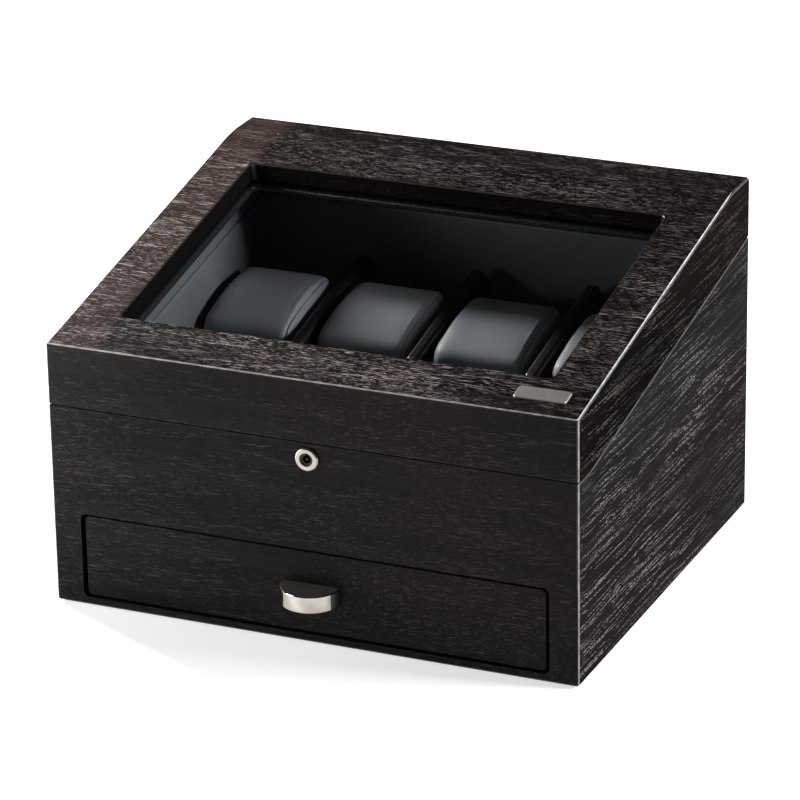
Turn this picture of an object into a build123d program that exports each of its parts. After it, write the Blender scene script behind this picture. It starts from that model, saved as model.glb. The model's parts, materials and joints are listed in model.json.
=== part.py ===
"""Watch winder box: a veneered cabinet with a glazed, sloping lid, four turning watch cushions
driven in two pairs by belts, and a storage drawer below.

Millimetres, +Z up, +X to the right and +Y to the back. While modelling, y is measured from the
cabinet's front face. save() moves every part back by half the depth, so that the origin of the
finished model is at the middle of the felt underside.
"""
from build123d import *
import math
import os

# ---- driving dimensions -------------------------------------------------------------------
WIDTH = 356.0
DEPTH = 305.0
HEIGHT = 231.0                 # flat strip at the back of the lid
FRONT_TOP = 176.3              # top of the lid's front face
SLOPE_DEG = 11.36              # slope of the lid's top
CROWN_R = 100.0                # where the slope rolls into the flat strip
PART_FRONT = 135.5             # parting line of lid and base, at the front
PART_SLOPE = 0.1908            # rise of the parting line per mm of depth
PART_BEND_Y = 17.1             # where the parting line starts to climb
PART_BEND_R = 72.0
PART_BEVEL = 0.6
PART_GAP = 0.8                 # open joint between lid and base
WALL = 12.0                    # veneered board
BEVEL = 1.3                    # bright bevels on the outer edges
LINER = 6.3                    # leatherette-covered lining board
FELT = 1.5

# window and glass
WINDOW_X = 145.9               # half width
WINDOW_FRONT = 39.6
WINDOW_BACK = 235.4
WINDOW_R = 5.0
WINDOW_BEVEL = 0.7
GLASS = 3.0
GLASS_LAP = 8.0
RETAINER = 9.0                 # glass retainer, under the top board
BEAD_IN = 1.5                  # how far its bead shows inside the window
BEAD_R = 2.4

# drawer bay and shelf
BOTTOM_TOP = 7.0               # upper face of the bottom board, lower edge of the opening
OPENING_X = 158.7
OPENING_TOP = 64.0
OPENING_R = 4.0
SHELF_Z = (66.0, 72.0)
RUNNER_X = 155.5
RUNNER_Y = (15.8, 282.0)
RUNNER_TOP = 57.0
DRAWER_X = 156.4               # drawer front, half width
DRAWER_Z = (7.9, 62.4)
DRAWER_RECESS = 1.4
DRAWER_FRONT = 14.0
DRAWER_R = 3.5
BOX_X = 154.7                  # drawer box, half width outside
BOX_SIDE = 9.0
BOX_TOP = 56.0
BOX_BACK = 275.0
BOX_BOTTOM = (9.5, 13.5)
INSERT_BAR = 5.0
PULL_R = 19.8
PULL_Z = (29.2, 40.8)
PULL_EDGE = 1.3

# winder bay
DIVIDER_X = 82.0
DIVIDER_W = 8.9
DIVIDER_Y = (160.3, 286.5)
DIVIDER_TOP = 132.4            # at its front end
DIVIDER_SLOPE = 0.211
DIVIDER_ROUND = 3.0
DIVIDER_PEAK_Y = 272.0
AXIS_Y = 210.7                 # turning axis of the cushions
AXIS_Z = 120.0
CUSHION = (67.0, 80.0, 54.0)     # length, depth and height at the middle of its crown
CUSHION_CROWN_R = 140.0        # the top and the underside bulge
CUSHION_ROUND = 11.0
CUSHION_END_ROUND = 4.5
SOCKET = (12.0, 8.0)           # side and depth of the square socket in a cushion's end
SHAFT_R = 3.0
RUNNING = 0.06                 # radial clearance of a turning shaft
BUSH_R = 4.5
BUSH_FLANGE = (6.0, 0.8)
HUB_R = 12.0
HUB_DISC = 1.4
DRIVEN_R = 15.0                # pulley on the cushions' shaft
MOTOR_R = 6.0                  # pulley on the motor
BELT = (3.0, 1.2)              # width and thickness
FLANGE = (1.8, 0.5)            # how far a pulley's flange stands out, and its thickness
PULLEY_CORE = 3.3
MOTOR_Y = 110.0
MOTOR_Z = 93.0
BELT_SLOT = 4.9

# control deck
DECK_TOP = 121.0
DECK_T = 3.5
DECK_BACK = 160.0
KNOB_X = 45.0
CONTROL_Y = 60.0
BOARD_Z = 100.0
ROCKER_DEG = 9.0

# lock
LOCK_Z = 125.1
LOCK_RING_R = 7.9
LOCK_RING_OUT = 2.0
PLUG_R = 4.0
CLAW = (7.2, 9.6)              # inner and outer radius of the lock's claw
CLAW_Y = (8.0, 10.0)
STAPLE_W = 3.0                 # width of the strike's staple

# hinges
HINGE_X = 110.0
HINGE_LEN = 40.0
KNUCKLE_R = 3.0
PIN_R = 1.5
HINGE_OUT = 3.3                # hinge axis behind the back face
LEAF = 1.3
LEAF_DEEP = 11.4

SLOPE = math.tan(math.radians(SLOPE_DEG))
PART_DEG = math.degrees(math.atan(PART_SLOPE))
HALF = WIDTH / 2
INNER = HALF - WALL                        # inner face of the side boards
LINED = INNER - LINER                      # inner face of the lining
BACK_IN = DEPTH - WALL
BACK_LINED = BACK_IN - LINER
FRONT_LINED = WALL + LINER
FAR = 500.0


# ---- helpers --------------------------------------------------------------------------------
def parting(y, above=0.0):
    """Height of the parting line at depth y, ignoring its rounded bend."""
    return PART_FRONT + max(0.0, y - PART_BEND_Y) * PART_SLOPE + above


def block(x, y, z):
    """A box between (low, high) pairs."""
    size = (x[1] - x[0], y[1] - y[0], z[1] - z[0])
    return Pos(x[0], y[0], z[0]) * Box(*size, align=(Align.MIN, Align.MIN, Align.MIN))


def prism_x(points, x, radii=0.0):
    """A prism along X from (y, z) points, with a rounding radius for each corner."""
    outline = FilletPolyline(*points, radius=radii, close=True)
    face = make_face(outline)
    return extrude(Plane.YZ.offset(x[0]) * face, x[1] - x[0], dir=(1, 0, 0))


def prism_z(points, z):
    """A prism along Z from (x, y) points."""
    face = make_face(Polyline(*points, close=True))
    return extrude(Pos(0, 0, z[0]) * face, z[1] - z[0], dir=(0, 0, 1))


def rod_x(radius, x, y, z):
    """A round bar along X between the (low, high) pair x."""
    return Pos((x[0] + x[1]) / 2, y, z) * Rot(0, 90, 0) * Cylinder(radius, x[1] - x[0])


def rod_y(radius, x, y, z):
    """A round bar along Y between the (low, high) pair y."""
    return Pos(x, (y[0] + y[1]) / 2, z) * Rot(90, 0, 0) * Cylinder(radius, y[1] - y[0])


def rod_z(radius, x, y, z):
    """A round bar along Z between the (low, high) pair z."""
    return Pos(x, y, (z[0] + z[1]) / 2) * Cylinder(radius, z[1] - z[0])


def mirrored(shape):
    """The same shape on the other side of the cabinet's middle plane."""
    return mirror(shape, about=Plane.YZ)


def edges_along(shape, axis, spots, tolerance=0.6):
    """Edges parallel to an axis whose middle is near one of the (a, b) spots.

    A spot gives the two coordinates across the axis, in X, Y, Z order.
    """
    found = ShapeList()
    for edge in shape.edges().filter_by(axis):
        middle = edge.center()
        across = {
            Axis.X: (middle.Y, middle.Z),
            Axis.Y: (middle.X, middle.Z),
            Axis.Z: (middle.X, middle.Y),
        }[axis]
        if any(math.dist(across, spot) < tolerance for spot in spots):
            found.append(edge)
    return found


def tube(points, radii, radius):
    """A round wire along straight runs joined by arcs."""
    path = FilletPolyline(*points, radius=radii)
    start = Plane(origin=path @ 0, z_dir=path % 0)
    return sweep(start * Circle(radius), path=path)


def save(name, *pieces):
    """Write one node, moved so that the origin is under the middle of the cabinet."""
    solids = [solid for piece in pieces for solid in piece.solids()]
    node = Compound(children=[Pos(0, -DEPTH / 2, 0) * solid for solid in solids])
    export_step(node, os.path.join("parts", name + ".step"))


# ---- outer forms of the cabinet ---------------------------------------------------------------
def roof(depth_below):
    """(y, z) points and corner radii of the region above the lid's top, lowered by a thickness."""
    flat = HEIGHT - depth_below
    front = FRONT_TOP - depth_below / math.cos(math.radians(SLOPE_DEG))
    start = -20.0
    bend = (flat - front) / SLOPE
    points = [(start, front + start * SLOPE), (bend, flat), (FAR, flat), (FAR, FAR), (start, FAR)]
    return points, [0, CROWN_R - depth_below, 0, 0, 0]


def above_roof(depth_below, half_width=FAR):
    """Everything above the lid's top surface lowered by a thickness."""
    points, radii = roof(depth_below)
    return prism_x(points, (-half_width, half_width), radii)


def above_parting(offset):
    """Everything above the parting line raised by an offset."""
    low = PART_FRONT + offset
    start = -20.0
    high = low + (FAR - PART_BEND_Y) * PART_SLOPE
    points = [(start, low), (PART_BEND_Y, low), (FAR, high), (FAR, 2 * FAR), (start, 2 * FAR)]
    return prism_x(points, (-FAR, FAR), [0, PART_BEND_R, 0, 0, 0])


def parting_edges(shape, offset):
    """Edges of a shape that lie on the parting line raised by an offset."""
    found = ShapeList()
    for edge in shape.edges():
        middle = edge.center()
        if abs(middle.Z - parting(middle.Y, offset)) < 0.35:
            found.append(edge)
    return found


def cabinet_block(z_low):
    """The whole outer block with its bevelled vertical edges, before it is split."""
    whole = block((-HALF, HALF), (0, DEPTH), (z_low, FAR))
    corners = [(sx * HALF, y) for sx in (-1, 1) for y in (0, DEPTH)]
    return chamfer(edges_along(whole, Axis.Z, corners), BEVEL)


def mitre(side):
    """Plan wedge that holds one wall of the cabinet, mitred at both ends."""
    middle = DEPTH / 2
    reach = 2 * FAR
    if side == "front":
        points = [(0, HALF), (-reach, HALF - reach), (reach, HALF - reach)]
    elif side == "back":
        points = [(0, DEPTH - HALF), (reach, DEPTH - HALF + reach), (-reach, DEPTH - HALF + reach)]
    else:
        sign = -1 if side == "left" else 1
        peak = HALF - middle
        near, far = sign * peak, sign * (peak + reach)
        points = [(near, middle), (far, middle - reach), (far, middle + reach)]
    return prism_z(points, (-FAR, FAR))


SLOPE_PLANE = Plane(
    origin=(0, 0, FRONT_TOP),
    x_dir=(1, 0, 0),
    z_dir=(0, -math.sin(math.radians(SLOPE_DEG)), math.cos(math.radians(SLOPE_DEG))),
)


def window_sketch(grow, corner):
    """Rounded window outline in the slope's own plane."""
    cosine = math.cos(math.radians(SLOPE_DEG))
    low, high = WINDOW_FRONT / cosine, WINDOW_BACK / cosine
    size = (2 * (WINDOW_X + grow), high - low + 2 * grow)
    return Pos(0, (low + high) / 2) * RectangleRounded(*size, corner)


def through_slope(grow, corner, top, bottom):
    """The window's outline as a plug between two depths below the slope."""
    sketch = SLOPE_PLANE.offset(-bottom) * window_sketch(grow, corner)
    return extrude(sketch, bottom - top, dir=SLOPE_PLANE.z_dir)


# ---- base cabinet ---------------------------------------------------------------------------
def base_walls():
    """Front, left, right and back boards of the base."""
    outer = cabinet_block(FELT) - above_parting(-PART_GAP / 2)
    low_edges = [edge for edge in outer.edges() if edge.center().Z < FELT + 0.1]
    outer = chamfer(low_edges, BEVEL)
    outer = chamfer(parting_edges(outer, -PART_GAP / 2), PART_BEVEL)
    hollow = block((-INNER, INNER), (WALL, BACK_IN), (-FAR, FAR))
    walls = outer - hollow
    boards = {side: walls & mitre(side) for side in ("front", "left", "right", "back")}

    opening = extrude(
        Plane.XZ.offset(-WALL - 5) * Pos(0, (BOTTOM_TOP + OPENING_TOP) / 2)
        * RectangleRounded(2 * OPENING_X, OPENING_TOP - BOTTOM_TOP, OPENING_R),
        2 * FAR, both=False, dir=(0, -1, 0),
    )
    front = boards["front"] - opening - lock_pocket()
    top_rail = front & block((-FAR, FAR), (-1, WALL + 1), (OPENING_TOP, FAR))
    stiles = front & block((-FAR, FAR), (-1, WALL + 1), (BOTTOM_TOP, OPENING_TOP))
    low_rail = front & block((-FAR, FAR), (-1, WALL + 1), (-1, BOTTOM_TOP))
    save("base_front_panel", top_rail, stiles, low_rail)
    save("base_left_panel", boards["left"])
    save("base_right_panel", boards["right"])
    save("base_back_panel", boards["back"] - jack_hole() - hinge_mortises("base"))


def base_boards():
    """Bottom board, felt underside and the shelf between drawer and winder."""
    bottom = block((-INNER, INNER), (WALL, BACK_IN), (FELT, BOTTOM_TOP))
    save("base_bottom_panel", bottom)
    inset = 5.0
    felt = block((-HALF + inset, HALF - inset), (inset, DEPTH - inset), (0, FELT))
    corners = [(sx * (HALF - inset), y) for sx in (-1, 1) for y in (inset, DEPTH - inset)]
    save("felt_base_pad", fillet(edges_along(felt, Axis.Z, corners), 6))
    shelf = block((-INNER, INNER), (WALL, BACK_IN), SHELF_Z)
    save("shelf_panel", shelf - rod_z(3.0, *LEAD_HOLE, (SHELF_Z[0] - 1, SHELF_Z[1] + 1)))


def base_liners():
    """Leatherette-covered lining boards of the base, with a rounded top edge."""
    drop = 1.2
    nose = 2.4
    low = SHELF_Z[1]
    points = [
        (WALL, low), (WALL, PART_FRONT - drop), (PART_BEND_Y, PART_FRONT - drop),
        (BACK_IN, parting(BACK_IN, -drop)), (BACK_IN, low),
    ]
    side = prism_x(points, (-INNER, -LINED), [0, 0, PART_BEND_R / 2, 0, 0])
    top = [e for e in side.edges() if e.center().Z > PART_FRONT - 2 and abs(e.tangent_at(0.5).X) < 0.1]
    inner = [e for e in top if e.center().X > -LINED - 0.1 and abs(e.tangent_at(0.5).Y) > 0.5]
    side = fillet(inner, nose)
    bush = rod_x(BUSH_R + 0.02, (-LINED - 5, -LINED + 1), AXIS_Y, AXIS_Z)
    side = side - bush
    save("base_liner_left", side)
    save("base_liner_right", mirrored(side))

    reach = LINED - 0.1
    front_top = parting(WALL, -drop)
    front = block((-reach, reach), (WALL, FRONT_LINED), (low, front_top))
    front = fillet(edges_along(front, Axis.X, [(FRONT_LINED, front_top)]), nose)
    save("base_liner_front", front)
    back_top = parting(BACK_LINED, -drop)
    back = block((-reach, reach), (BACK_LINED, BACK_IN), (low, back_top))
    back = fillet(edges_along(back, Axis.X, [(BACK_LINED, back_top)]), nose)
    save("base_liner_back", back)


# ---- lid --------------------------------------------------------------------------------------
def lid_boards():
    """Top board with the window, and four rails."""
    outer = (cabinet_block(0) & above_parting(PART_GAP / 2)) - above_roof(0)
    upper = ShapeList()
    for edge in outer.edges():
        middle = edge.center()
        on_roof = middle.Z > FRONT_TOP + min(middle.Y, DEPTH - 36) * SLOPE - 1.0
        if on_roof:
            upper.append(edge)
    outer = chamfer(upper, BEVEL)
    outer = chamfer(parting_edges(outer, PART_GAP / 2), PART_BEVEL)
    hollow = block((-INNER, INNER), (WALL, BACK_IN), (-FAR, FAR)) - above_roof(WALL)
    shell = outer - hollow
    cover = above_roof(WALL)
    window = through_slope(0, WINDOW_R, -5, WALL + 5)
    top = (shell & cover) - window
    rim = [
        edge for edge in top.edges()
        if abs(SLOPE_PLANE.to_local_coords(edge.center()).Z) < 0.05
        and abs(edge.center().X) < WINDOW_X + 0.5
        and WINDOW_FRONT - 1 < edge.center().Y < WINDOW_BACK + 1
    ]
    top = chamfer(rim, WINDOW_BEVEL)
    save("lid_top_panel", *framed(top))
    rails = shell - cover
    front = (rails & mitre("front")) - strike_seat()
    save("lid_front_rail", front)
    save("lid_left_rail", rails & mitre("left"))
    save("lid_right_rail", rails & mitre("right"))
    save("lid_back_rail", (rails & mitre("back")) - hinge_mortises("lid"))


def framed(top):
    """The top board as a frame of four strips, butted at the window's corners."""
    front = top & block((-FAR, FAR), (-1, WINDOW_FRONT + WINDOW_R), (0, FAR))
    back = top & block((-FAR, FAR), (WINDOW_BACK - WINDOW_R, FAR), (0, FAR))
    middle = (WINDOW_FRONT + WINDOW_R, WINDOW_BACK - WINDOW_R)
    left = top & block((-FAR, 0), middle, (0, FAR))
    right = top & block((0, FAR), middle, (0, FAR))
    return front, back, left, right


def lid_glazing():
    """Glass sheet under the window and the beaded retainer that holds it."""
    top, bottom = WALL + 0.1, WALL + 0.1 + GLASS
    save("lid_glass", through_slope(GLASS_LAP, WINDOW_R + 2, top, bottom))

    low = WALL + RETAINER
    band = above_roof(low, INNER - 0.2) - above_roof(WALL + 0.1, FAR)
    band = band & block((-FAR, FAR), (WALL + 0.2, BACK_IN - 0.2), (0, FAR))
    band = band - through_slope(GLASS_LAP + 0.3, WINDOW_R + 2, top - 1, bottom + 0.1)
    band = band - through_slope(-BEAD_IN, WINDOW_R, top - 5, low + 10)
    bead = [
        edge for edge in band.edges()
        if abs(edge.center().X) < WINDOW_X and WINDOW_FRONT < edge.center().Y < WINDOW_BACK + 4
    ]
    band = fillet(bead, BEAD_R)
    save("glass_retainer", *framed(band))


def lid_liner():
    """Four leatherette-covered boards inside the lid's rails."""
    lift = 1.2
    nose = 1.6
    zone = above_parting(lift) - above_roof(WALL + RETAINER + 0.1)
    left = zone & block((-INNER, -LINED), (WALL, BACK_IN), (0, FAR))
    reach = LINED - 0.1
    front = zone & block((-reach, reach), (WALL, FRONT_LINED), (0, FAR))
    back = zone & block((-reach, reach), (BACK_LINED, BACK_IN), (0, FAR))
    front_low = [e for e in front.edges().filter_by(Axis.X) if e.center().Z < PART_FRONT + lift + 1]
    front = fillet([e for e in front_low if e.center().Y > FRONT_LINED - 0.2], nose)
    back_low = parting(BACK_LINED, lift)
    back = fillet(edges_along(back, Axis.X, [(BACK_LINED, back_low)]), nose)
    save("lid_liner", left, mirrored(left), front, back)


def name_plate():
    """Plain metal plate at the lid's front right corner."""
    sketch = Pos(147, 21) * RectangleRounded(34, 13, 2)
    plate = extrude(SLOPE_PLANE.offset(0.05) * sketch, 0.9, dir=SLOPE_PLANE.z_dir)
    rim = [e for e in plate.edges() if SLOPE_PLANE.to_local_coords(e.center()).Z > 0.9]
    save("name_plate", chamfer(rim, 0.3))


# ---- hinges -----------------------------------------------------------------------------------
HINGE_Y = DEPTH + HINGE_OUT
HINGE_Z = PART_FRONT + (DEPTH - PART_BEND_Y) * PART_SLOPE
KNUCKLES = 5
KNUCKLE_GAP = 0.3
SCREW_X = 12.0                 # screws either side of a hinge's middle
SCREW_DEEP = 9.0
SCREW_R = 1.2


def hinge_frame(x):
    """Local frame of one hinge: X along the pin, Y back along the parting line, Z off it."""
    return Location((x, DEPTH, HINGE_Z), (PART_DEG, 0, 0))


def hinge_leaf(owner):
    """Leaf with its own knuckles, in the hinge's local frame."""
    up = 1 if owner == "lid" else -1
    near, far = 0.1, LEAF + 0.1
    z = (near, far) if up > 0 else (-far, -near)
    axis_y = HINGE_OUT * math.cos(math.radians(PART_DEG))
    axis_z = -HINGE_OUT * math.sin(math.radians(PART_DEG))
    leaf = block((-HINGE_LEN / 2, HINGE_LEN / 2), (-LEAF_DEEP, -0.15), z)
    pitch = HINGE_LEN / KNUCKLES
    mine = (1, 3) if owner == "lid" else (0, 2, 4)
    for index in mine:
        x0 = -HINGE_LEN / 2 + index * pitch + KNUCKLE_GAP / 2
        x = (x0, x0 + pitch - KNUCKLE_GAP)
        leaf = leaf + block(x, (-1.0, axis_y), z) + rod_x(KNUCKLE_R, x, axis_y, axis_z)
    leaf = leaf - rod_x(PIN_R + RUNNING, (-HINGE_LEN, HINGE_LEN), axis_y, axis_z)
    for sx in (-SCREW_X, SCREW_X):
        leaf = leaf - rod_z(SCREW_R + 0.05, sx, -LEAF_DEEP / 2, (-5, 5))
        leaf = leaf - screw_head(sx, up, 0.03)
    return leaf


def screw_head(x, up, grow=0.0):
    """Countersunk head, flush with the leaf's free face, in the hinge's local frame."""
    radius = 2.3 + grow
    head = Cone(radius, SCREW_R + grow, LEAF)
    if up > 0:
        return Pos(x, -LEAF_DEEP / 2, 0.1 + LEAF / 2) * head
    return Pos(x, -LEAF_DEEP / 2, -0.1 - LEAF / 2) * Rot(180, 0, 0) * head


def hinge_screws(owner, grow=0.0):
    """The two screws of one leaf, in the hinge's local frame."""
    up = 1 if owner == "lid" else -1
    near, far = LEAF + 0.1, LEAF + SCREW_DEEP
    z = (near, far) if up > 0 else (-far - grow, -near)
    screws = []
    for sx in (-SCREW_X, SCREW_X):
        shank = rod_z(SCREW_R + grow, sx, -LEAF_DEEP / 2, z)
        screws.append(shank if grow else shank + screw_head(sx, up))
    return screws


def hinge_mortises(owner):
    """Pockets in the wood for both leaves of one side, with their screw holes."""
    up = 1 if owner == "lid" else -1
    deep = LEAF + 0.12
    z = (-1.0, deep) if up > 0 else (-deep, 1.0)
    cutters = []
    for x in (-HINGE_X, HINGE_X):
        frame = hinge_frame(x)
        pocket = block((-HINGE_LEN / 2 - 0.2, HINGE_LEN / 2 + 0.2), (-LEAF_DEEP - 0.2, 5), z)
        cutters.append(frame * pocket)
        cutters += [frame * hole for hole in hinge_screws(owner, 0.03)]
    return Compound(children=[solid for cutter in cutters for solid in cutter.solids()])


def hinges():
    """Two butt hinges: leaves with their screws, and the pins."""
    for owner in ("base", "lid"):
        pieces = []
        for x in (-HINGE_X, HINGE_X):
            pieces.append(hinge_frame(x) * hinge_leaf(owner))
            pieces += [hinge_frame(x) * screw for screw in hinge_screws(owner)]
        save(f"hinge_{owner}_leaves", *pieces)
    half = HINGE_LEN / 2 + 0.6
    pins = []
    for x in (-HINGE_X, HINGE_X):
        pin = rod_x(PIN_R, (x - half, x + half), HINGE_Y, HINGE_Z)
        for end in (x - half, x + half):
            pin = pin + rod_x(PIN_R + 0.7, (end - 0.5, end + 0.5), HINGE_Y, HINGE_Z)
        pins.append(pin)
    save("hinge_pins", *pins)


# ---- lock -------------------------------------------------------------------------------------
def lock_pocket():
    """Bore and inner pocket for the lock in the front board."""
    bore = rod_y(6.0, 0, (-5, 6), LOCK_Z)
    pocket = rod_y(CLAW[1] + 0.9, 0, (5.0, WALL + 1), LOCK_Z)
    slot = block((-4.5, 4.5), (5.0, WALL + 1), (LOCK_Z, FAR))
    return bore + pocket + slot


def lock():
    """Ring and barrel, the turning plug with its claw, and the lid's strike staple."""
    ring = rod_y(LOCK_RING_R, 0, (-LOCK_RING_OUT, -0.05), LOCK_Z)
    front = [e for e in ring.edges() if e.center().Y < -LOCK_RING_OUT + 0.01]
    ring = fillet(front, 1.6)
    dish = Pos(0, -LOCK_RING_OUT, LOCK_Z) * Rot(90, 0, 0) * Cone(PLUG_R + 0.1, PLUG_R + 0.9, 2.0)
    barrel = rod_y(5.9, 0, (-0.1, 4.9), LOCK_Z)
    body = (ring - dish) + barrel - rod_y(PLUG_R + RUNNING, 0, (-5, 6), LOCK_Z)
    cover = block((-9.5, 9.5), (11.2, 11.9), (LOCK_Z - 10, LOCK_Z + 8))
    cover = cover - rod_y(1.6, 0, (10, 13), LOCK_Z) & rod_y(CLAW[1] + 0.6, 0, (10, 13), LOCK_Z)
    save("lock_body", body, cover)

    plug = rod_y(PLUG_R, 0, (-0.7, 10.2), LOCK_Z)
    plug = plug + rod_y(1.5, 0, (10.0, 11.7), LOCK_Z)
    keyway = rod_y(2.6, 0, (-1, 7.0), LOCK_Z) + block((-0.6, 0.6), (-1, 7.0), (LOCK_Z, LOCK_Z + 3.3))
    plug = plug - keyway + rod_y(0.9, 0, (-0.5, 7.5), LOCK_Z)
    save("lock_plug", plug, lock_claw())

    strike = block((-8.5, 8.5), (4.2, 11.8), (PART_FRONT + 0.45, PART_FRONT + 1.6))
    loop_top = PART_FRONT + 1.0
    bar = (LOCK_Z + 4.7, LOCK_Z + 5.9)
    half = STAPLE_W / 2
    for y in ((6.7, 7.5), (10.5, 11.1)):
        strike = strike + block((-half, half), y, (bar[0], loop_top))
    strike = strike + block((-half, half), (6.7, 11.1), bar)
    save("lock_strike", strike)


def lock_claw():
    """Curved claw on a web, seated on the plug, at rest to its lower right."""
    seat = rod_y(PLUG_R, 0, (CLAW_Y[0] - 1, CLAW_Y[1] + 1), LOCK_Z)
    disc = rod_y(CLAW[1], 0, CLAW_Y, LOCK_Z) - seat
    ring = disc - rod_y(CLAW[0], 0, (CLAW_Y[0] - 1, CLAW_Y[1] + 1), LOCK_Z)
    reach = 20.0

    def sector(start, end):
        """Wedge between two angles, in degrees from +X towards +Z."""
        corners = [(0.0, 0.0)]
        for angle in (start, (start + end) / 2, end):
            turn = math.radians(angle)
            corners.append((reach * math.cos(turn), reach * math.sin(turn)))
        face = make_face(Polyline(*corners, close=True))
        wedge = extrude(Plane.XZ * face, 2 * reach, both=True)
        return Pos(0, 0, LOCK_Z) * wedge

    return (ring & sector(-70, 0)) + (disc & sector(-70, -52))


def strike_seat():
    """Recess in the lid's front rail for the strike plate."""
    return block((-8.7, 8.7), (4.0, WALL + 1), (0, PART_FRONT + 1.75))


# ---- drawer -----------------------------------------------------------------------------------
def drawer():
    """Front, sides, back, bottom, insert, pull and the runners it slides between."""
    back_of_front = DRAWER_RECESS + DRAWER_FRONT
    middle = (DRAWER_Z[0] + DRAWER_Z[1]) / 2
    outline = RectangleRounded(2 * DRAWER_X, DRAWER_Z[1] - DRAWER_Z[0], DRAWER_R)
    front = extrude(Plane.XZ.offset(-back_of_front) * Pos(0, middle) * outline, DRAWER_FRONT)
    face_edges = [e for e in front.edges() if abs(e.center().Y - DRAWER_RECESS) < 0.01]
    front = fillet(face_edges, 0.8)
    holes = [rod_y(2.05, x, (0, back_of_front + 1), PULL_MIDDLE) for x in PULL_SCREWS]
    sinks = [rod_y(4.0, x, (back_of_front - 3.0, back_of_front + 1), PULL_MIDDLE) for x in PULL_SCREWS]
    for cut in holes + sinks:
        front = front - cut
    save("drawer_front", front)

    side = block((-BOX_X, -BOX_X + BOX_SIDE), (back_of_front, BOX_BACK), (DRAWER_Z[0], BOX_TOP))
    top_edges = [(-BOX_X, BOX_TOP), (-BOX_X + BOX_SIDE, BOX_TOP)]
    side = fillet(edges_along(side, Axis.Y, top_edges), 1.5)
    inner_x = BOX_X - BOX_SIDE
    groove = block((-inner_x - 4, inner_x + 4), (back_of_front - 1, BOX_BACK + 1), BOX_BOTTOM)
    side = side - groove
    save("drawer_sides", side, mirrored(side))
    back_low = BOX_BOTTOM[1] + 0.05
    back = block((-inner_x, inner_x), (BOX_BACK - BOX_SIDE, BOX_BACK), (back_low, BOX_TOP - 4))
    save("drawer_back", fillet(edges_along(back, Axis.X, [(BOX_BACK, BOX_TOP - 4)]), 1.5))
    bottom = block((-inner_x - 3.8, inner_x + 3.8), (back_of_front, BOX_BACK), BOX_BOTTOM)
    save("drawer_bottom", bottom)

    room_y = (back_of_front + 0.2, BOX_BACK - BOX_SIDE - 0.2)
    floor_z = (BOX_BOTTOM[1] + 0.05, BOX_BOTTOM[1] + 2.0)
    insert = [block((-inner_x + 0.2, inner_x - 0.2), room_y, floor_z)]
    bar_z = (floor_z[1], 44.0)
    cross_y = room_y[0] + 118.0
    insert.append(block((-inner_x + 0.2, inner_x - 0.2), (cross_y, cross_y + INSERT_BAR), bar_z))
    bays = 5
    pitch = 2 * inner_x / bays
    for index in range(1, bays):
        x = -inner_x + index * pitch
        insert.append(block((x - INSERT_BAR / 2, x + INSERT_BAR / 2), (room_y[0], cross_y), bar_z))
    rounded = [insert[0]]
    for bar in insert[1:]:
        rounded.append(fillet([e for e in bar.edges() if e.center().Z > bar_z[1] - 0.01], 1.5))
    save("drawer_insert", *rounded)

    runner = block((-INNER, -RUNNER_X), RUNNER_Y, (BOTTOM_TOP, RUNNER_TOP))
    save("drawer_runners", runner, mirrored(runner))


PULL_MIDDLE = (PULL_Z[0] + PULL_Z[1]) / 2
PULL_SCREWS = (-10.0, 10.0)


def drawer_pull():
    """Half-moon casting with rounded rims, held by two screws from inside the drawer."""
    disc = rod_z(PULL_R, 0, DRAWER_RECESS, PULL_Z)
    moon = disc & block((-FAR, FAR), (-FAR, DRAWER_RECESS - 0.05), (0, FAR))
    rims = [
        e for e in moon.edges()
        if e.center().Y < DRAWER_RECESS - 1 and min(abs(e.center().Z - z) for z in PULL_Z) < 0.01
    ]
    moon = fillet(rims, PULL_EDGE)
    screws = []
    head_y = DRAWER_RECESS + DRAWER_FRONT - 2.9
    for x in PULL_SCREWS:
        moon = moon - rod_y(1.98, x, (DRAWER_RECESS - 8.2, DRAWER_RECESS + 1), PULL_MIDDLE)
        shank = rod_y(1.95, x, (DRAWER_RECESS - 8.0, head_y), PULL_MIDDLE)
        head = rod_y(3.6, x, (head_y - 0.05, head_y + 2.2), PULL_MIDDLE)
        slot = block((x - 3, x + 3), (head_y + 1.4, head_y + 3), (PULL_MIDDLE - 0.4, PULL_MIDDLE + 0.4))
        screws.append(shank + head - slot)
    save("drawer_pull", moon, *screws)


# ---- winder -----------------------------------------------------------------------------------
def divider_outline(grow=0.0):
    """Side view of a divider, its top edge parallel to the lid."""
    low = SHELF_Z[1]
    y0, y1 = DIVIDER_Y
    peak = DIVIDER_TOP + (DIVIDER_PEAK_Y - y0) * DIVIDER_SLOPE
    return [(y0, low), (y0, DIVIDER_TOP), (DIVIDER_PEAK_Y, peak), (y1, peak - 14.0), (y1, low)]


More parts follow.
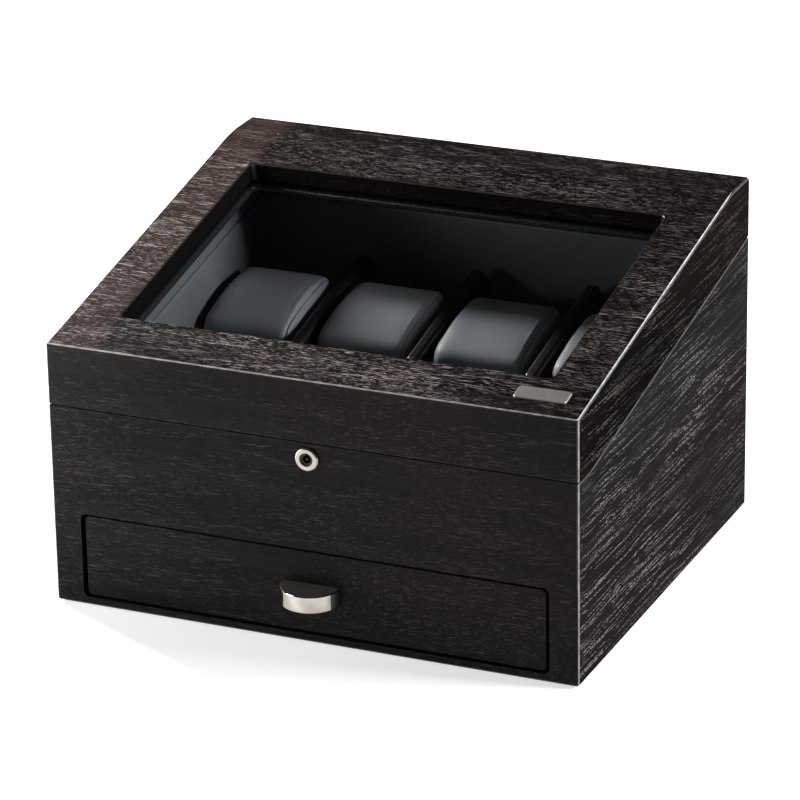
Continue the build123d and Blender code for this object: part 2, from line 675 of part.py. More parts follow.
def dividers():
    """Three upright boards between the cushions; the outer two hold a belt."""
    half = DIVIDER_W / 2
    plain = prism_x(divider_outline(), (-half, half), [0, 4, 6, 3, 0])
    rims = [
        e for e in plain.edges()
        if e.center().Z > DIVIDER_TOP - 1 and abs(abs(e.center().X) - half) < 0.01
    ]
    plain = fillet(rims, DIVIDER_ROUND)
    through = rod_x(BUSH_R + 0.02, (-half - 1, half + 1), AXIS_Y, AXIS_Z)
    save("divider_centre", plain - through)

    slot_r = DRIVEN_R + FLANGE[0] + 1.4
    top_front = (DIVIDER_Y[0] - 1, 119.5)
    low_front = (DIVIDER_Y[0] - 1, 90.0)
    over = (AXIS_Y - 6, AXIS_Z + slot_r - 1)
    under = (AXIS_Y - 3, AXIS_Z - slot_r)
    width = (-BELT_SLOT / 2, BELT_SLOT / 2)
    slot = prism_x([low_front, top_front, over, (AXIS_Y, AXIS_Z), under], width)
    slot = slot + rod_x(slot_r, width, AXIS_Y, AXIS_Z)
    driven = plain - through - slot
    save("divider_left", Pos(-DIVIDER_X, 0, 0) * driven)
    save("divider_right", Pos(DIVIDER_X, 0, 0) * mirrored(driven))


def bush(x_inner, x_outer):
    """Flanged sleeve between two x positions, its flange at x_outer."""
    sign = 1 if x_outer > x_inner else -1
    sleeve = rod_x(BUSH_R, sorted((x_inner, x_outer)), AXIS_Y, AXIS_Z)
    flange = rod_x(BUSH_FLANGE[0], sorted((x_outer, x_outer + sign * BUSH_FLANGE[1])), AXIS_Y, AXIS_Z)
    bore = rod_x(SHAFT_R + RUNNING, (-FAR, FAR), AXIS_Y, AXIS_Z)
    return sleeve + flange - bore


def bearing_bushes():
    """Bushes in the lining, the driven dividers and the centre divider."""
    half = DIVIDER_W / 2
    cheek = (DIVIDER_W - BELT_SLOT) / 2
    left = [
        bush(-LINED - 4.9, -LINED),
        bush(-DIVIDER_X - half + cheek, -DIVIDER_X - half),
        bush(-DIVIDER_X + half - cheek, -DIVIDER_X + half),
        bush(-0.05, -half),
    ]
    save("bearing_bushes", *left, *[mirrored(piece) for piece in left])


def cushion_places():
    """Middle x of the four cushions."""
    outer = (LINED + DIVIDER_X + DIVIDER_W / 2) / 2
    inner = DIVIDER_X / 2
    return [-outer, -inner, inner, outer]


def tilted(shape):
    """Turn a shape at the axis so that its top lies parallel to the lid."""
    return Pos(0, AXIS_Y, AXIS_Z) * Rot(SLOPE_DEG, 0, 0) * shape


def hub(x_face, sign, journal):
    """End plate of a cushion: square boss inward, disc, and a stub of shaft outward."""
    side, deep = SOCKET[0] - 0.6, SOCKET[1] - 1.0
    boss = tilted(Box(deep, side, side))
    boss = Pos(x_face - sign * deep / 2, 0, 0) * boss
    disc = rod_x(HUB_R, sorted((x_face, x_face + sign * HUB_DISC)), AXIS_Y, AXIS_Z)
    plate = boss + disc
    if journal:
        plate = plate + rod_x(SHAFT_R, sorted((x_face, x_face + sign * journal)), AXIS_Y, AXIS_Z)
    return plate


def rotors():
    """Two turning groups: a shaft with its pulley, four hubs and two cushions each."""
    places = cushion_places()
    half = CUSHION[0] / 2
    gap = 0.25
    journal_end = {True: 39.8, False: 39.4}      # from a cushion's middle, outer and inner pairs
    for name, pair, flip in (("left", places[:2], 1), ("right", places[2:], -1)):
        outer_x, inner_x = sorted(pair, key=abs, reverse=True)
        driven_x = -flip * DIVIDER_X
        shaft_half = abs(abs(outer_x) - half - gap - DIVIDER_X) + 5.0
        shaft_x = (driven_x - shaft_half, driven_x + shaft_half)
        shaft = rod_x(SHAFT_R, shaft_x, AXIS_Y, AXIS_Z)
        save(f"drive_shaft_{name}", shaft)

        hubs = []
        for x in (outer_x, inner_x):
            for sign in (-1, 1):
                face = x + sign * (half + gap)
                drives = abs(face - driven_x) < 20
                journal = 0 if drives else journal_end[x == outer_x] - half - gap
                piece = hub(face, sign, journal)
                if drives:
                    piece = piece - rod_x(SHAFT_R + 0.01, shaft_x, AXIS_Y, AXIS_Z)
                hubs.append(piece)
        save(f"rotor_hubs_{name}", *hubs)

        core = rod_x(DRIVEN_R, (-PULLEY_CORE / 2, PULLEY_CORE / 2), AXIS_Y, AXIS_Z)
        pulley = core
        for sign in (-1, 1):
            x = sorted((sign * PULLEY_CORE / 2, sign * (PULLEY_CORE / 2 + FLANGE[1])))
            pulley = pulley + rod_x(DRIVEN_R + FLANGE[0], x, AXIS_Y, AXIS_Z)
        pulley = pulley - rod_x(SHAFT_R + 0.01, (-5, 5), AXIS_Y, AXIS_Z)
        save(f"driven_pulley_{name}", Pos(driven_x, 0, 0) * pulley)

    for number, x in enumerate(places, start=1):
        save(f"watch_cushion_{number}", Pos(x, 0, 0) * cushion())


def cushion():
    """Soft block with a crowned top and underside and a square socket in each end."""
    length, depth, height = CUSHION
    body = Box(length, depth, height)
    sunk = CUSHION_CROWN_R - height / 2
    for sign in (-1, 1):
        body = body & rod_x(CUSHION_CROWN_R, (-length, length), 0, sign * sunk)
    body = fillet(body.edges().filter_by(Axis.X), CUSHION_ROUND)
    ends = [e for e in body.edges() if abs(abs(e.center().X) - CUSHION[0] / 2) < 0.01]
    body = fillet(ends, CUSHION_END_ROUND)
    for sign in (-1, 1):
        x = sign * (CUSHION[0] - SOCKET[1]) / 2
        body = body - Pos(x, 0, 0) * Box(SOCKET[1] + 0.02, SOCKET[0], SOCKET[0])
    return tilted(body)


def belt_loop(grow):
    """Outline round both pulleys, as a solid of the belt's width."""
    width = BELT[0]
    big = DRIVEN_R + 0.12 + grow
    small = MOTOR_R + 0.12 + grow
    span = math.dist((AXIS_Y, AXIS_Z), (MOTOR_Y, MOTOR_Z))
    heading = math.atan2(AXIS_Z - MOTOR_Z, AXIS_Y - MOTOR_Y)
    lean = math.acos((small - big) / span)
    points = []
    for centre, radius in (((MOTOR_Y, MOTOR_Z), small), ((AXIS_Y, AXIS_Z), big)):
        pair = []
        for sign in (1, -1):
            turn = heading + sign * lean
            pair.append((centre[0] + radius * math.cos(turn), centre[1] + radius * math.sin(turn)))
        points += pair if not points else pair[::-1]
    x = (-width / 2, width / 2)
    return prism_x(points, x) + rod_x(small, x, MOTOR_Y, MOTOR_Z) + rod_x(big, x, AXIS_Y, AXIS_Z)


def drives():
    """Belts, geared motors with their cradles, and the motor pulleys."""
    belt = belt_loop(BELT[1]) - belt_loop(0)
    for name, sign in (("left", -1), ("right", 1)):
        x = sign * DIVIDER_X
        save(f"drive_belt_{name}", Pos(x, 0, 0) * belt)

        inward = -sign
        face = x + inward * 5.0
        gearbox = rod_x(16.5, sorted((face, face + inward * 20)), MOTOR_Y, MOTOR_Z)
        can = rod_x(14.0, sorted((face + inward * 20, face + inward * 46)), MOTOR_Y, MOTOR_Z)
        tail = rod_x(5.0, sorted((face + inward * 46, face + inward * 48)), MOTOR_Y, MOTOR_Z)
        motor = gearbox + can + tail
        motor = motor - rod_x(2.0 + RUNNING, sorted((face - inward, face + inward * 9)), MOTOR_Y, MOTOR_Z)
        cradle_x = sorted((face + inward * 3, face + inward * 17))
        cradle = block(cradle_x, (MOTOR_Y - 20, MOTOR_Y + 20), (SHELF_Z[1], MOTOR_Z - 6))
        cradle = cradle - rod_x(16.55, (-FAR, FAR), MOTOR_Y, MOTOR_Z)
        save(f"gear_motor_{name}", motor, cradle)

        half = PULLEY_CORE / 2
        pulley = rod_x(MOTOR_R, (x - half, x + half), MOTOR_Y, MOTOR_Z)
        for side in (-1, 1):
            rim = sorted((x + side * half, x + side * (half + FLANGE[1])))
            pulley = pulley + rod_x(MOTOR_R + FLANGE[0], rim, MOTOR_Y, MOTOR_Z)
        shaft = rod_x(2.0, sorted((x - inward * 3, face + inward * 8.5)), MOTOR_Y, MOTOR_Z)
        save(f"motor_pulley_{name}", pulley + shaft)


# ---- controls -----------------------------------------------------------------------------------
BELT_WAY = 6.4                 # width of the belt's passage into the dividers
SWITCH = (21.0, 14.0)          # rocker switch body, seen from above
PIVOT_R = 0.7                  # rocker's pivot pins
PIVOT_REACH = 6.2
LEAD_R = 1.3
JACK_X = 110.0
JACK_Z = 58.0
LEAD_HOLE = (JACK_X, 128.0)
LEAD_RUN_Z = 62.6


def control_deck():
    """Cover over the motors, with holes for the controls and a rear apron."""
    reach = LINED - 0.3
    y = (FRONT_LINED + 0.2, DECK_BACK)
    deck = block((-reach, reach), y, (DECK_TOP - DECK_T, DECK_TOP))
    deck = fillet(edges_along(deck, Axis.X, [(DECK_BACK, DECK_TOP)]), 2.5)
    for sx in (-KNOB_X, KNOB_X):
        deck = deck - rod_z(4.0, sx, CONTROL_Y, (DECK_TOP - 9, DECK_TOP + 1))
    half_x, half_y = SWITCH[0] / 2 + 0.2, SWITCH[1] / 2 + 0.2
    hole_y = (CONTROL_Y - half_y, CONTROL_Y + half_y)
    deck = deck - block((-half_x, half_x), hole_y, (DECK_TOP - 9, DECK_TOP + 1))

    apron_y = (DECK_BACK - 3.0, DECK_BACK)
    apron = block((-reach, reach), apron_y, (SHELF_Z[1] + 0.1, DECK_TOP - DECK_T))
    for sx in (-DIVIDER_X, DIVIDER_X):
        belt_way = (sx - BELT_WAY / 2, sx + BELT_WAY / 2)
        apron = apron - block(belt_way, (apron_y[0] - 1, apron_y[1] + 1), (86.0, DECK_TOP))
        deck = deck - block(belt_way, (apron_y[0] - 6, apron_y[1] + 1), (0, DECK_TOP - DECK_T + 1.6))
    save("control_deck", deck, *apron.solids())


def control_board():
    """Circuit board with two selector switches, the rocker switch body and parts."""
    board_top = BOARD_Z + 1.6
    board = block((-75, 75), (36, 84), (BOARD_Z, board_top))
    pieces = []
    for sx in (-KNOB_X, KNOB_X):
        case = block((sx - 8, sx + 8), (CONTROL_Y - 8, CONTROL_Y + 8), (board_top, board_top + 7))
        neck = rod_z(3.8, sx, CONTROL_Y, (board_top + 6.9, board_top + 12))
        pieces.append(case + neck - rod_z(3.0 + RUNNING, sx, CONTROL_Y, (board_top + 3, board_top + 13)))
    half_x, half_y = SWITCH[0] / 2, SWITCH[1] / 2
    body_y = (CONTROL_Y - half_y, CONTROL_Y + half_y)
    body = block((-half_x, half_x), body_y, (board_top, DECK_TOP + 0.1))
    rim = 1.5
    rim_y = (body_y[0] - rim, body_y[1] + rim)
    flange = block((-half_x - rim, half_x + rim), rim_y, (DECK_TOP + 0.1, DECK_TOP + 1.1))
    flange = chamfer([e for e in flange.edges() if e.center().Z > DECK_TOP + 1.09], 0.5)
    well_y = (body_y[0] + rim, body_y[1] - rim)
    well = block((-half_x + rim, half_x - rim), well_y, (DECK_TOP - 9, DECK_TOP + 2))
    bearing_y = (CONTROL_Y - PIVOT_REACH - 0.1, CONTROL_Y + PIVOT_REACH + 0.1)
    bearing = rod_y(PIVOT_R + RUNNING, 0, bearing_y, DECK_TOP)
    pieces.append(body + flange - well - bearing)
    pieces.append(block((14, 24), (66, 76), (board_top, board_top + 1.8)))
    pieces.append(block((-26, -18), (66, 72), (board_top, board_top + 1.6)))
    for x, y in ((62, 45), (62, 60), (-62, 50)):
        pieces.append(rod_z(3.2, x, y, (board_top, board_top + 9)))
    posts = [rod_z(3.0, x, y, (SHELF_Z[1], BOARD_Z)) for x in (-70, 70) for y in (41, 79)]
    save("control_board", board, *pieces, *posts)


def knobs():
    """Two selector knobs with their stems, and the rocker of the power switch."""
    for name, sx in (("left", -KNOB_X), ("right", KNOB_X)):
        z = (DECK_TOP + 0.6, DECK_TOP + 11.0)
        body = rod_z(8.5, sx, CONTROL_Y, z)
        body = fillet([e for e in body.edges() if e.center().Z > z[1] - 0.01], 1.0)
        flutes = 18
        for index in range(flutes):
            turn = 2 * math.pi * index / flutes
            x, y = sx + 8.9 * math.cos(turn), CONTROL_Y + 8.9 * math.sin(turn)
            body = body - rod_z(0.8, x, y, (z[0] - 1, z[1] - 2.0))
        pointer = block((sx - 0.5, sx + 0.5), (CONTROL_Y - 7.6, CONTROL_Y - 2.5), (z[1] - 0.5, z[1] + 1))
        stem = rod_z(3.0, sx, CONTROL_Y, (BOARD_Z + 5.0, z[0] + 1))
        save(f"selector_knob_{name}", body - pointer + stem)

    half = SWITCH[0] / 2 - 1.9
    dip = 1.6
    top = DECK_TOP + 2.6
    low = DECK_TOP - 4.0
    foot = (half - 1.0, low + 1.0)
    outline = [(-half, top), (0, top - dip), (half, top), foot, (0, low), (-foot[0], foot[1])]
    face = make_face(Polyline(*outline, close=True))
    width = SWITCH[1] - 3.8
    rocker = extrude(Plane.XZ * face, width / 2, both=True)
    rocker = rocker + rod_y(PIVOT_R, 0, (-PIVOT_REACH, PIVOT_REACH), DECK_TOP)
    pivot = Pos(0, CONTROL_Y, DECK_TOP) * Rot(0, ROCKER_DEG, 0) * Pos(0, 0, -DECK_TOP)
    save("power_rocker", pivot * rocker)


def jack_hole():
    """Hole in the back board for the power jack."""
    return rod_y(4.05, JACK_X, (BACK_IN - 1, DEPTH + 1), JACK_Z)


def power_inlet():
    """Panel jack with its pin, and the leads that run to the board and the motors."""
    bezel = rod_y(5.6, JACK_X, (DEPTH + 0.05, DEPTH + 1.4), JACK_Z)
    bezel = chamfer([e for e in bezel.edges() if e.center().Y > DEPTH + 1.39], 0.5)
    barrel = rod_y(4.0, JACK_X, (BACK_IN - 6, DEPTH + 0.1), JACK_Z)
    nut = rod_y(6.0, JACK_X, (BACK_IN - 2.6, BACK_IN - 0.05), JACK_Z)
    socket = rod_y(2.85, JACK_X, (DEPTH - 9.0, DEPTH + 3), JACK_Z)
    pin = rod_y(1.05, JACK_X, (DEPTH - 9.5, DEPTH - 0.5), JACK_Z)
    save("dc_jack", bezel + barrel + nut - socket + pin)

    start = (JACK_X, BACK_IN - 6.1, JACK_Z)
    hole_x, hole_y = LEAD_HOLE
    board_end = (76.5, 60.0, BOARD_Z + 0.8)
    main = [
        start, (JACK_X, BACK_IN - 15, JACK_Z), (JACK_X, BACK_IN - 30, LEAD_RUN_Z),
        (hole_x, hole_y, LEAD_RUN_Z), (hole_x, hole_y, 84.0), (100.0, 96.0, BOARD_Z + 0.8),
        (94.0, 60.0, BOARD_Z + 0.8), board_end,
    ]
    leads = [tube(main, [9, 9, 6, 8, 8, 8], LEAD_R)]
    for sign in (-1, 1):
        tail_x = sign * (DIVIDER_X - 5.0 - 48.2)
        route = [
            (tail_x, MOTOR_Y, MOTOR_Z), (tail_x - sign * 8, MOTOR_Y, MOTOR_Z),
            (tail_x - sign * 8, MOTOR_Y - 12, BOARD_Z - 2), (tail_x - sign * 8, 84.2, BOARD_Z - 2),
        ]
        leads.append(tube(route, [4, 4], 0.9))
    save("wiring_harness", *leads)


def main():
    """Write every part."""
    os.makedirs("parts", exist_ok=True)
    base_walls()
    base_boards()
    base_liners()
    lid_boards()
    lid_glazing()
    lid_liner()
    name_plate()
    hinges()
    lock()
    drawer()
    drawer_pull()
    dividers()
    bearing_bushes()
    rotors()
    drives()
    control_deck()
    control_board()
    knobs()
    power_inlet()


main()
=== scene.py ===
"""Looks of the watch winder box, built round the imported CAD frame. Metres, row frame."""
import json
import math

import bmesh
import bpy
from mathutils import Matrix, Vector, noise
from mathutils.bvhtree import BVHTree


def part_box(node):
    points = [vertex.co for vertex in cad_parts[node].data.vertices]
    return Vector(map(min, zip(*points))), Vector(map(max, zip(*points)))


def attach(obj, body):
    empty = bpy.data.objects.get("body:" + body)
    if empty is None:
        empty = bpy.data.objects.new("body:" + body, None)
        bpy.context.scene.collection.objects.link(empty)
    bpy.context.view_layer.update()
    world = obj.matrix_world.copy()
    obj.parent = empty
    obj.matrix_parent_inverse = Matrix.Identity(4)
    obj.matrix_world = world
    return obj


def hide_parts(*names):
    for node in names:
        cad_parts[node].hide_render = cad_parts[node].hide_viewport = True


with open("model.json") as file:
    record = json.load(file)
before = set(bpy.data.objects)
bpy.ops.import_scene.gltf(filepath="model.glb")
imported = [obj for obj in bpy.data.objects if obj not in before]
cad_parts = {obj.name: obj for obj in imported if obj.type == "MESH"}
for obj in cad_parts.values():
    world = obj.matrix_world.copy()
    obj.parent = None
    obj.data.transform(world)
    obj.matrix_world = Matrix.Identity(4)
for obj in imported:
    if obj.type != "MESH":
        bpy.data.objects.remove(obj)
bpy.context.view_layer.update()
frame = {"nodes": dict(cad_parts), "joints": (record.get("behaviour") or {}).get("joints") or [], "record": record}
NODES = frame["nodes"]
MM = 0.001


# ---- node helpers ------------------------------------------------------------------------------
class Shader:
    """A small builder round one material's node tree."""

    def __init__(self, name):
        self.material = bpy.data.materials.new(name)
        self.material.use_nodes = True
        self.tree = self.material.node_tree
        self.tree.nodes.clear()
        self.output = self.tree.nodes.new("ShaderNodeOutputMaterial")
        self.coords = self.tree.nodes.new("ShaderNodeTexCoord")

    def node(self, kind, **settings):
        """Add a node and set its plain attributes."""
        made = self.tree.nodes.new("ShaderNode" + kind)
        for key, value in settings.items():
            setattr(made, key, value)
        return made

    def feed(self, socket, value):
        """Link a socket, or set its constant."""
        if isinstance(value, bpy.types.NodeSocket):
            self.tree.links.new(value, socket)
        else:
            socket.default_value = value

    def math(self, operation, first, second=0.0, clamp=False):
        """One Math node."""
        made = self.node("Math", operation=operation, use_clamp=clamp)
        self.feed(made.inputs[0], first)
        self.feed(made.inputs[1], second)
        return made.outputs[0]

    def times(self, first, second):
        """Product of two values."""
        return self.math("MULTIPLY", first, second)

    def plus(self, first, second):
        """Sum of two values."""
        return self.math("ADD", first, second)

    def minus(self, first, second):
        """Difference of two values."""
        return self.math("SUBTRACT", first, second)

    def flip(self, mask):
        """The rest of a mask."""
        return self.math("SUBTRACT", 1.0, mask)

    def above(self, value, limit):
        """Mask: 1 where a value is over a limit."""
        return self.math("GREATER_THAN", value, limit)

    def below(self, value, limit):
        """Mask: 1 where a value is under a limit."""
        return self.math("LESS_THAN", value, limit)

    def larger(self, first, second):
        """The larger of two values; for masks, either of them."""
        return self.math("MAXIMUM", first, second)

    def vector(self, operation, first, second):
        """One Vector Math node."""
        made = self.node("VectorMath", operation=operation)
        self.feed(made.inputs[0], first)
        self.feed(made.inputs[1], second)
        return made.outputs[0]

    def split(self, vector):
        """The three parts of a vector."""
        made = self.node("SeparateXYZ")
        self.feed(made.inputs[0], vector)
        return made.outputs[0], made.outputs[1], made.outputs[2]

    def join(self, x, y, z):
        """A vector from three values."""
        made = self.node("CombineXYZ")
        for socket, value in zip(made.inputs, (x, y, z)):
            self.feed(socket, value)
        return made.outputs[0]

    def noise(self, vector, scale, detail=3.0, rough=0.5, distortion=0.0):
        """Noise value between 0 and 1."""
        made = self.node("TexNoise")
        self.feed(made.inputs["Vector"], vector)
        made.inputs["Scale"].default_value = scale
        made.inputs["Detail"].default_value = detail
        made.inputs["Roughness"].default_value = rough
        made.inputs["Distortion"].default_value = distortion
        return made.outputs[0]

    def stretched(self, vector, scales, detail, rough=0.5):
        """Noise with its own scale along each axis."""
        return self.noise(self.vector("MULTIPLY", vector, scales), 1.0, detail, rough)

    def voronoi(self, vector, scale, feature="F1", smooth=0.3):
        """Distance to the nearest cell point."""
        made = self.node("TexVoronoi", feature=feature)
        self.feed(made.inputs["Vector"], vector)
        made.inputs["Scale"].default_value = scale
        if feature == "SMOOTH_F1":
            made.inputs["Smoothness"].default_value = smooth
        return made.outputs["Distance"]

    def remap(self, value, low, high, to_low=0.0, to_high=1.0, smooth=True):
        """Map a range, clamped."""
        made = self.node("MapRange", clamp=True)
        made.interpolation_type = "SMOOTHSTEP" if smooth else "LINEAR"
        self.feed(made.inputs[0], value)
        for index, number in enumerate((low, high, to_low, to_high), start=1):
            self.feed(made.inputs[index], number)
        return made.outputs[0]

    def blend(self, factor, first, second):
        """Mix two colours."""
        made = self.node("Mix", data_type="RGBA")
        self.feed(made.inputs["Factor"], factor)
        self.feed(made.inputs[6], first)
        self.feed(made.inputs[7], second)
        return made.outputs[2]

    def bump(self, height, distance, strength):
        """Bump from a height in units of the distance."""
        made = self.node("Bump")
        made.inputs["Strength"].default_value = strength
        made.inputs["Distance"].default_value = distance
        self.feed(made.inputs["Height"], height)
        return made.outputs[0]

    def principled(self, normal=None, **inputs):
        """Principled shader on the output; keys are socket names with _ for spaces."""
        made = self.node("BsdfPrincipled")
        for key, value in inputs.items():
            self.feed(made.inputs[key.replace("_", " ")], value)
        if normal is not None:
            self.feed(made.inputs["Normal"], normal)
        self.feed(self.output.inputs["Surface"], made.outputs[0])
        return made


    def mixed(self, factor, first, second):
        """Two shaders mixed on the output."""
        made = self.node("MixShader")
        self.feed(made.inputs[0], factor)
        self.feed(made.inputs[1], first.outputs[0])
        self.feed(made.inputs[2], second.outputs[0])
        self.feed(self.output.inputs["Surface"], made.outputs[0])


def rgb(r, g, b):
    """Opaque colour."""
    return (r, g, b, 1.0)


# ---- the veneer ----------------------------------------------------------------------------------
# colours: the ground, the pale filled pores in it, painted highlights on the arrises and painted shade in the
# openings
GROUND_DARK = rgb(0.0016, 0.0015, 0.0015)
GROUND_PALE = rgb(0.0046, 0.0038, 0.0034)
GROUND_BROWN = rgb(0.0095, 0.0066, 0.0051)
# the sides' ground: wood colour made paler and neutral, partly painted sheen
SIDE_GROUND_DARK_AND_SHEEN = rgb(0.0070, 0.0070, 0.0076)
SIDE_GROUND_PALE_AND_SHEEN = rgb(0.0125, 0.0118, 0.0124)
LEFT_STRIP_BROWN_AND_LIGHT = rgb(0.026, 0.0145, 0.0120)    # the lid's left strip: browner veneer, partly painted light from the left
PORE_COLOUR = rgb(0.125, 0.108, 0.104)
# pale pores on the top, made paler to hold painted sheen as well as grain
TOP_PORE_COLOUR_AND_SHEEN = rgb(0.54, 0.45, 0.425)
PORE_COLOUR_SIDE = rgb(0.17, 0.152, 0.152)
PORE_COLOUR_LID_SIDE = rgb(0.062, 0.052, 0.047)
HIGHLIGHT_UPRIGHTS = rgb(0.30, 0.29, 0.28)        # painted highlight on the cabinet's upright corners
HIGHLIGHT_LID = rgb(0.50, 0.48, 0.46)           # painted highlight round the lid's top
HIGHLIGHT_SEAM = rgb(0.085, 0.088, 0.094)       # painted highlight along the parting line on the sides
HIGHLIGHT_DIM = rgb(0.040, 0.037, 0.036)        # dim painted highlight round the window and along the parting line in front
RECESS_SHADE = rgb(0.005, 0.0045, 0.0045)     # painted shade on the walls of the openings and on the edges round the drawer

# how strongly the pores show
PORES_FRONT = 0.27
PORES_TOP = 1.0
PORES_SIDE = 1.0                            # at the front of a side
PORES_SIDE_BACK_GRAIN_AND_SHADE = 0.5                       # at its back: fewer pale pores there, partly grain and partly painted shade
SIDE_FADE = (-0.12, 0.15)                   # y from the one to the other
PORES_BACK_GRAIN_AND_SHADE = 0.40                           # share left at the top's back: partly grain and partly painted shade
BACK_FADE = (0.0, 0.10)
PORES_RIGHT_GRAIN_AND_SHADE = 0.62                          # share left at the top's right: partly grain and partly painted shade
RIGHT_FADE = (0.10, 0.15)                   # x
PORES_LEFT_SIDE_SHADE = 0.5                       # share left on the left side, as painted shade

# places, from the boxes of the imported nodes; a rise is z - LID_SLOPE * y, level along the lid's top
SLOPE = math.radians(11.36)                 # of the lid's top
LID_SLOPE = math.tan(SLOPE)
BOARD = 12.0 * MM
FRONT_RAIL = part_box("lid_front_rail")
BACK_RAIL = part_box("lid_back_rail")
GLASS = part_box("lid_glass")
HALF_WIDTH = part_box("lid_top_panel")[1].x
HALF_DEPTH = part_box("lid_top_panel")[1].y
ROOF_RISE = FRONT_RAIL[1].z - FRONT_RAIL[1].y * LID_SLOPE + BOARD / math.cos(SLOPE)
TOP_RISE = ROOF_RISE - 0.64 * MM            # edges over this are those of the lid's top
LID_RISE = ROOF_RISE - 7.0 * MM             # a face that looks up over this is the lid's top
RETAINER_RISE = ROOF_RISE - 21.3 * MM       # underside of the glass retainer
OUTER_HALF = HALF_WIDTH - 0.7 * MM          # edges beyond this are the cabinet's own
INNER_HALF = HALF_WIDTH - 8.0 * MM          # side faces nearer the middle are walls of openings
CORNER_HALF = HALF_DEPTH - 2.0 * MM
WINDOW_HALF = GLASS[1].x - 7.2 * MM         # the glass laps under the window's edge
WINDOW_NEAR = GLASS[0].y + 4.7 * MM         # and lies deeper, so its laps differ in front and behind
WINDOW_FAR = GLASS[1].y - 10.0 * MM
PARTING_Z = FRONT_RAIL[0].z - 0.4 * MM      # parting line in front; behind the bend it rises
PARTING_BEND = 17.1 * MM - HALF_DEPTH
PARTING_SLOPE = (BACK_RAIL[0].z - FRONT_RAIL[0].z) / (BACK_RAIL[0].y - PARTING_BEND)
DRAWER_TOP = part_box("drawer_front")[1].z + 3.6 * MM
STRIP_EDGE = (-0.140, -0.150)               # x where the brown of the lid's left strip sets in
STRIP_PORES = (-0.143, 0.085)               # pores do not fade left of this x, in front of this y
SIDE_SHIFT = 0.37                           # keeps the grain of the two sides unlike
FACING = 0.75                               # part of the normal along an axis that a face looks along

# noise scales along and across the grain
STREAKS = (68.0, 1900.0, 1900.0)
DASHES = (190.0, 2600.0, 2600.0)
PATCHES = (13.0, 95.0, 95.0)
CLOUDS = (7.0, 18.0, 18.0)
STRINGS = (12.0, 620.0, 620.0)              # rows of dots on the sides
BEADS = (480.0, 1500.0, 1500.0)
WARP = (9.0, 26.0, 26.0)
SWIRL_ZONES = (10.0, 16.0, 16.0)
BANDS = (5.0, 75.0, 75.0)
BROWNS = (3.0, 9.0, 9.0)
FIBRES = (120.0, 2600.0, 2600.0)
WARP_MOVE = 0.008                           # metres across the grain
SWIRL_MOVE = 0.003


class Spot:
    """Where on the cabinet a point lies: its place and what face it is on, as masks."""

    def __init__(self, s):
        self.place = s.coords.outputs["Object"]
        self.x, self.y, self.z = s.split(self.place)
        self.far_x = s.math("ABSOLUTE", self.x)
        normal = s.split(s.coords.outputs["Normal"])
        self.ax, self.ay, self.az = (s.math("ABSOLUTE", part) for part in normal)
        self.on_side = s.above(self.ax, FACING)
        self.rise = s.minus(self.z, s.times(self.y, LID_SLOPE))
        facing_up = s.above(self.az, FACING)
        self.on_top = s.times(facing_up, s.above(self.rise, LID_RISE))
        self.on_ledge = s.minus(facing_up, self.on_top)
        behind = s.larger(s.minus(self.y, PARTING_BEND), 0.0)
        self.over_parting = s.above(self.z, s.plus(PARTING_Z, s.times(PARTING_SLOPE, behind)))


def grain_place(s, spot):
    """Place with the grain along its first axis: front to back on the sides, else across the box."""
    pick = s.node("Mix", data_type="VECTOR")
    s.feed(pick.inputs["Factor"], spot.on_side)
    s.feed(pick.inputs[4], spot.place)
    s.feed(pick.inputs[5], s.join(spot.y, s.plus(spot.x, SIDE_SHIFT), spot.z))
    return pick.outputs[1]


def bend_grain(s, grain):
    """The grain's place with slow waves, and with swirls here and there."""
    warp = s.minus(s.stretched(grain, WARP, 2.0), 0.5)
    swirl_zone = s.remap(s.stretched(grain, SWIRL_ZONES, 1.0), 0.56, 0.68)
    swirl = s.minus(s.noise(grain, 90.0, 2.0), 0.5)
    shove = s.plus(s.times(warp, WARP_MOVE), s.times(s.times(swirl, swirl_zone), SWIRL_MOVE))
    return s.vector("ADD", grain, s.join(0.0, shove, shove))


def pore_pattern(s, spot, grain, bent):
    """Streaks in patches with fine dashes between them; rows of dots on the sides."""
    streaks = s.remap(s.stretched(bent, STREAKS, 3.0, 0.62), 0.585, 0.645)
    dashes = s.remap(s.stretched(bent, DASHES, 2.0, 0.55), 0.605, 0.665)
    patches = s.remap(s.stretched(bent, PATCHES, 2.5, 0.6), 0.38, 0.60)
    clouds = s.remap(s.stretched(grain, CLOUDS, 2.0), 0.36, 0.62, 0.25, 1.0)
    flecks = s.larger(s.times(streaks, patches), s.times(dashes, clouds))
    strings = s.remap(s.stretched(bent, STRINGS, 2.0, 0.6), 0.525, 0.60)
    beads = s.remap(s.stretched(bent, BEADS, 1.0), 0.46, 0.56)
    dots = s.times(s.times(strings, beads), clouds)
    return s.plus(s.times(flecks, s.flip(spot.on_side)), s.times(dots, spot.on_side))


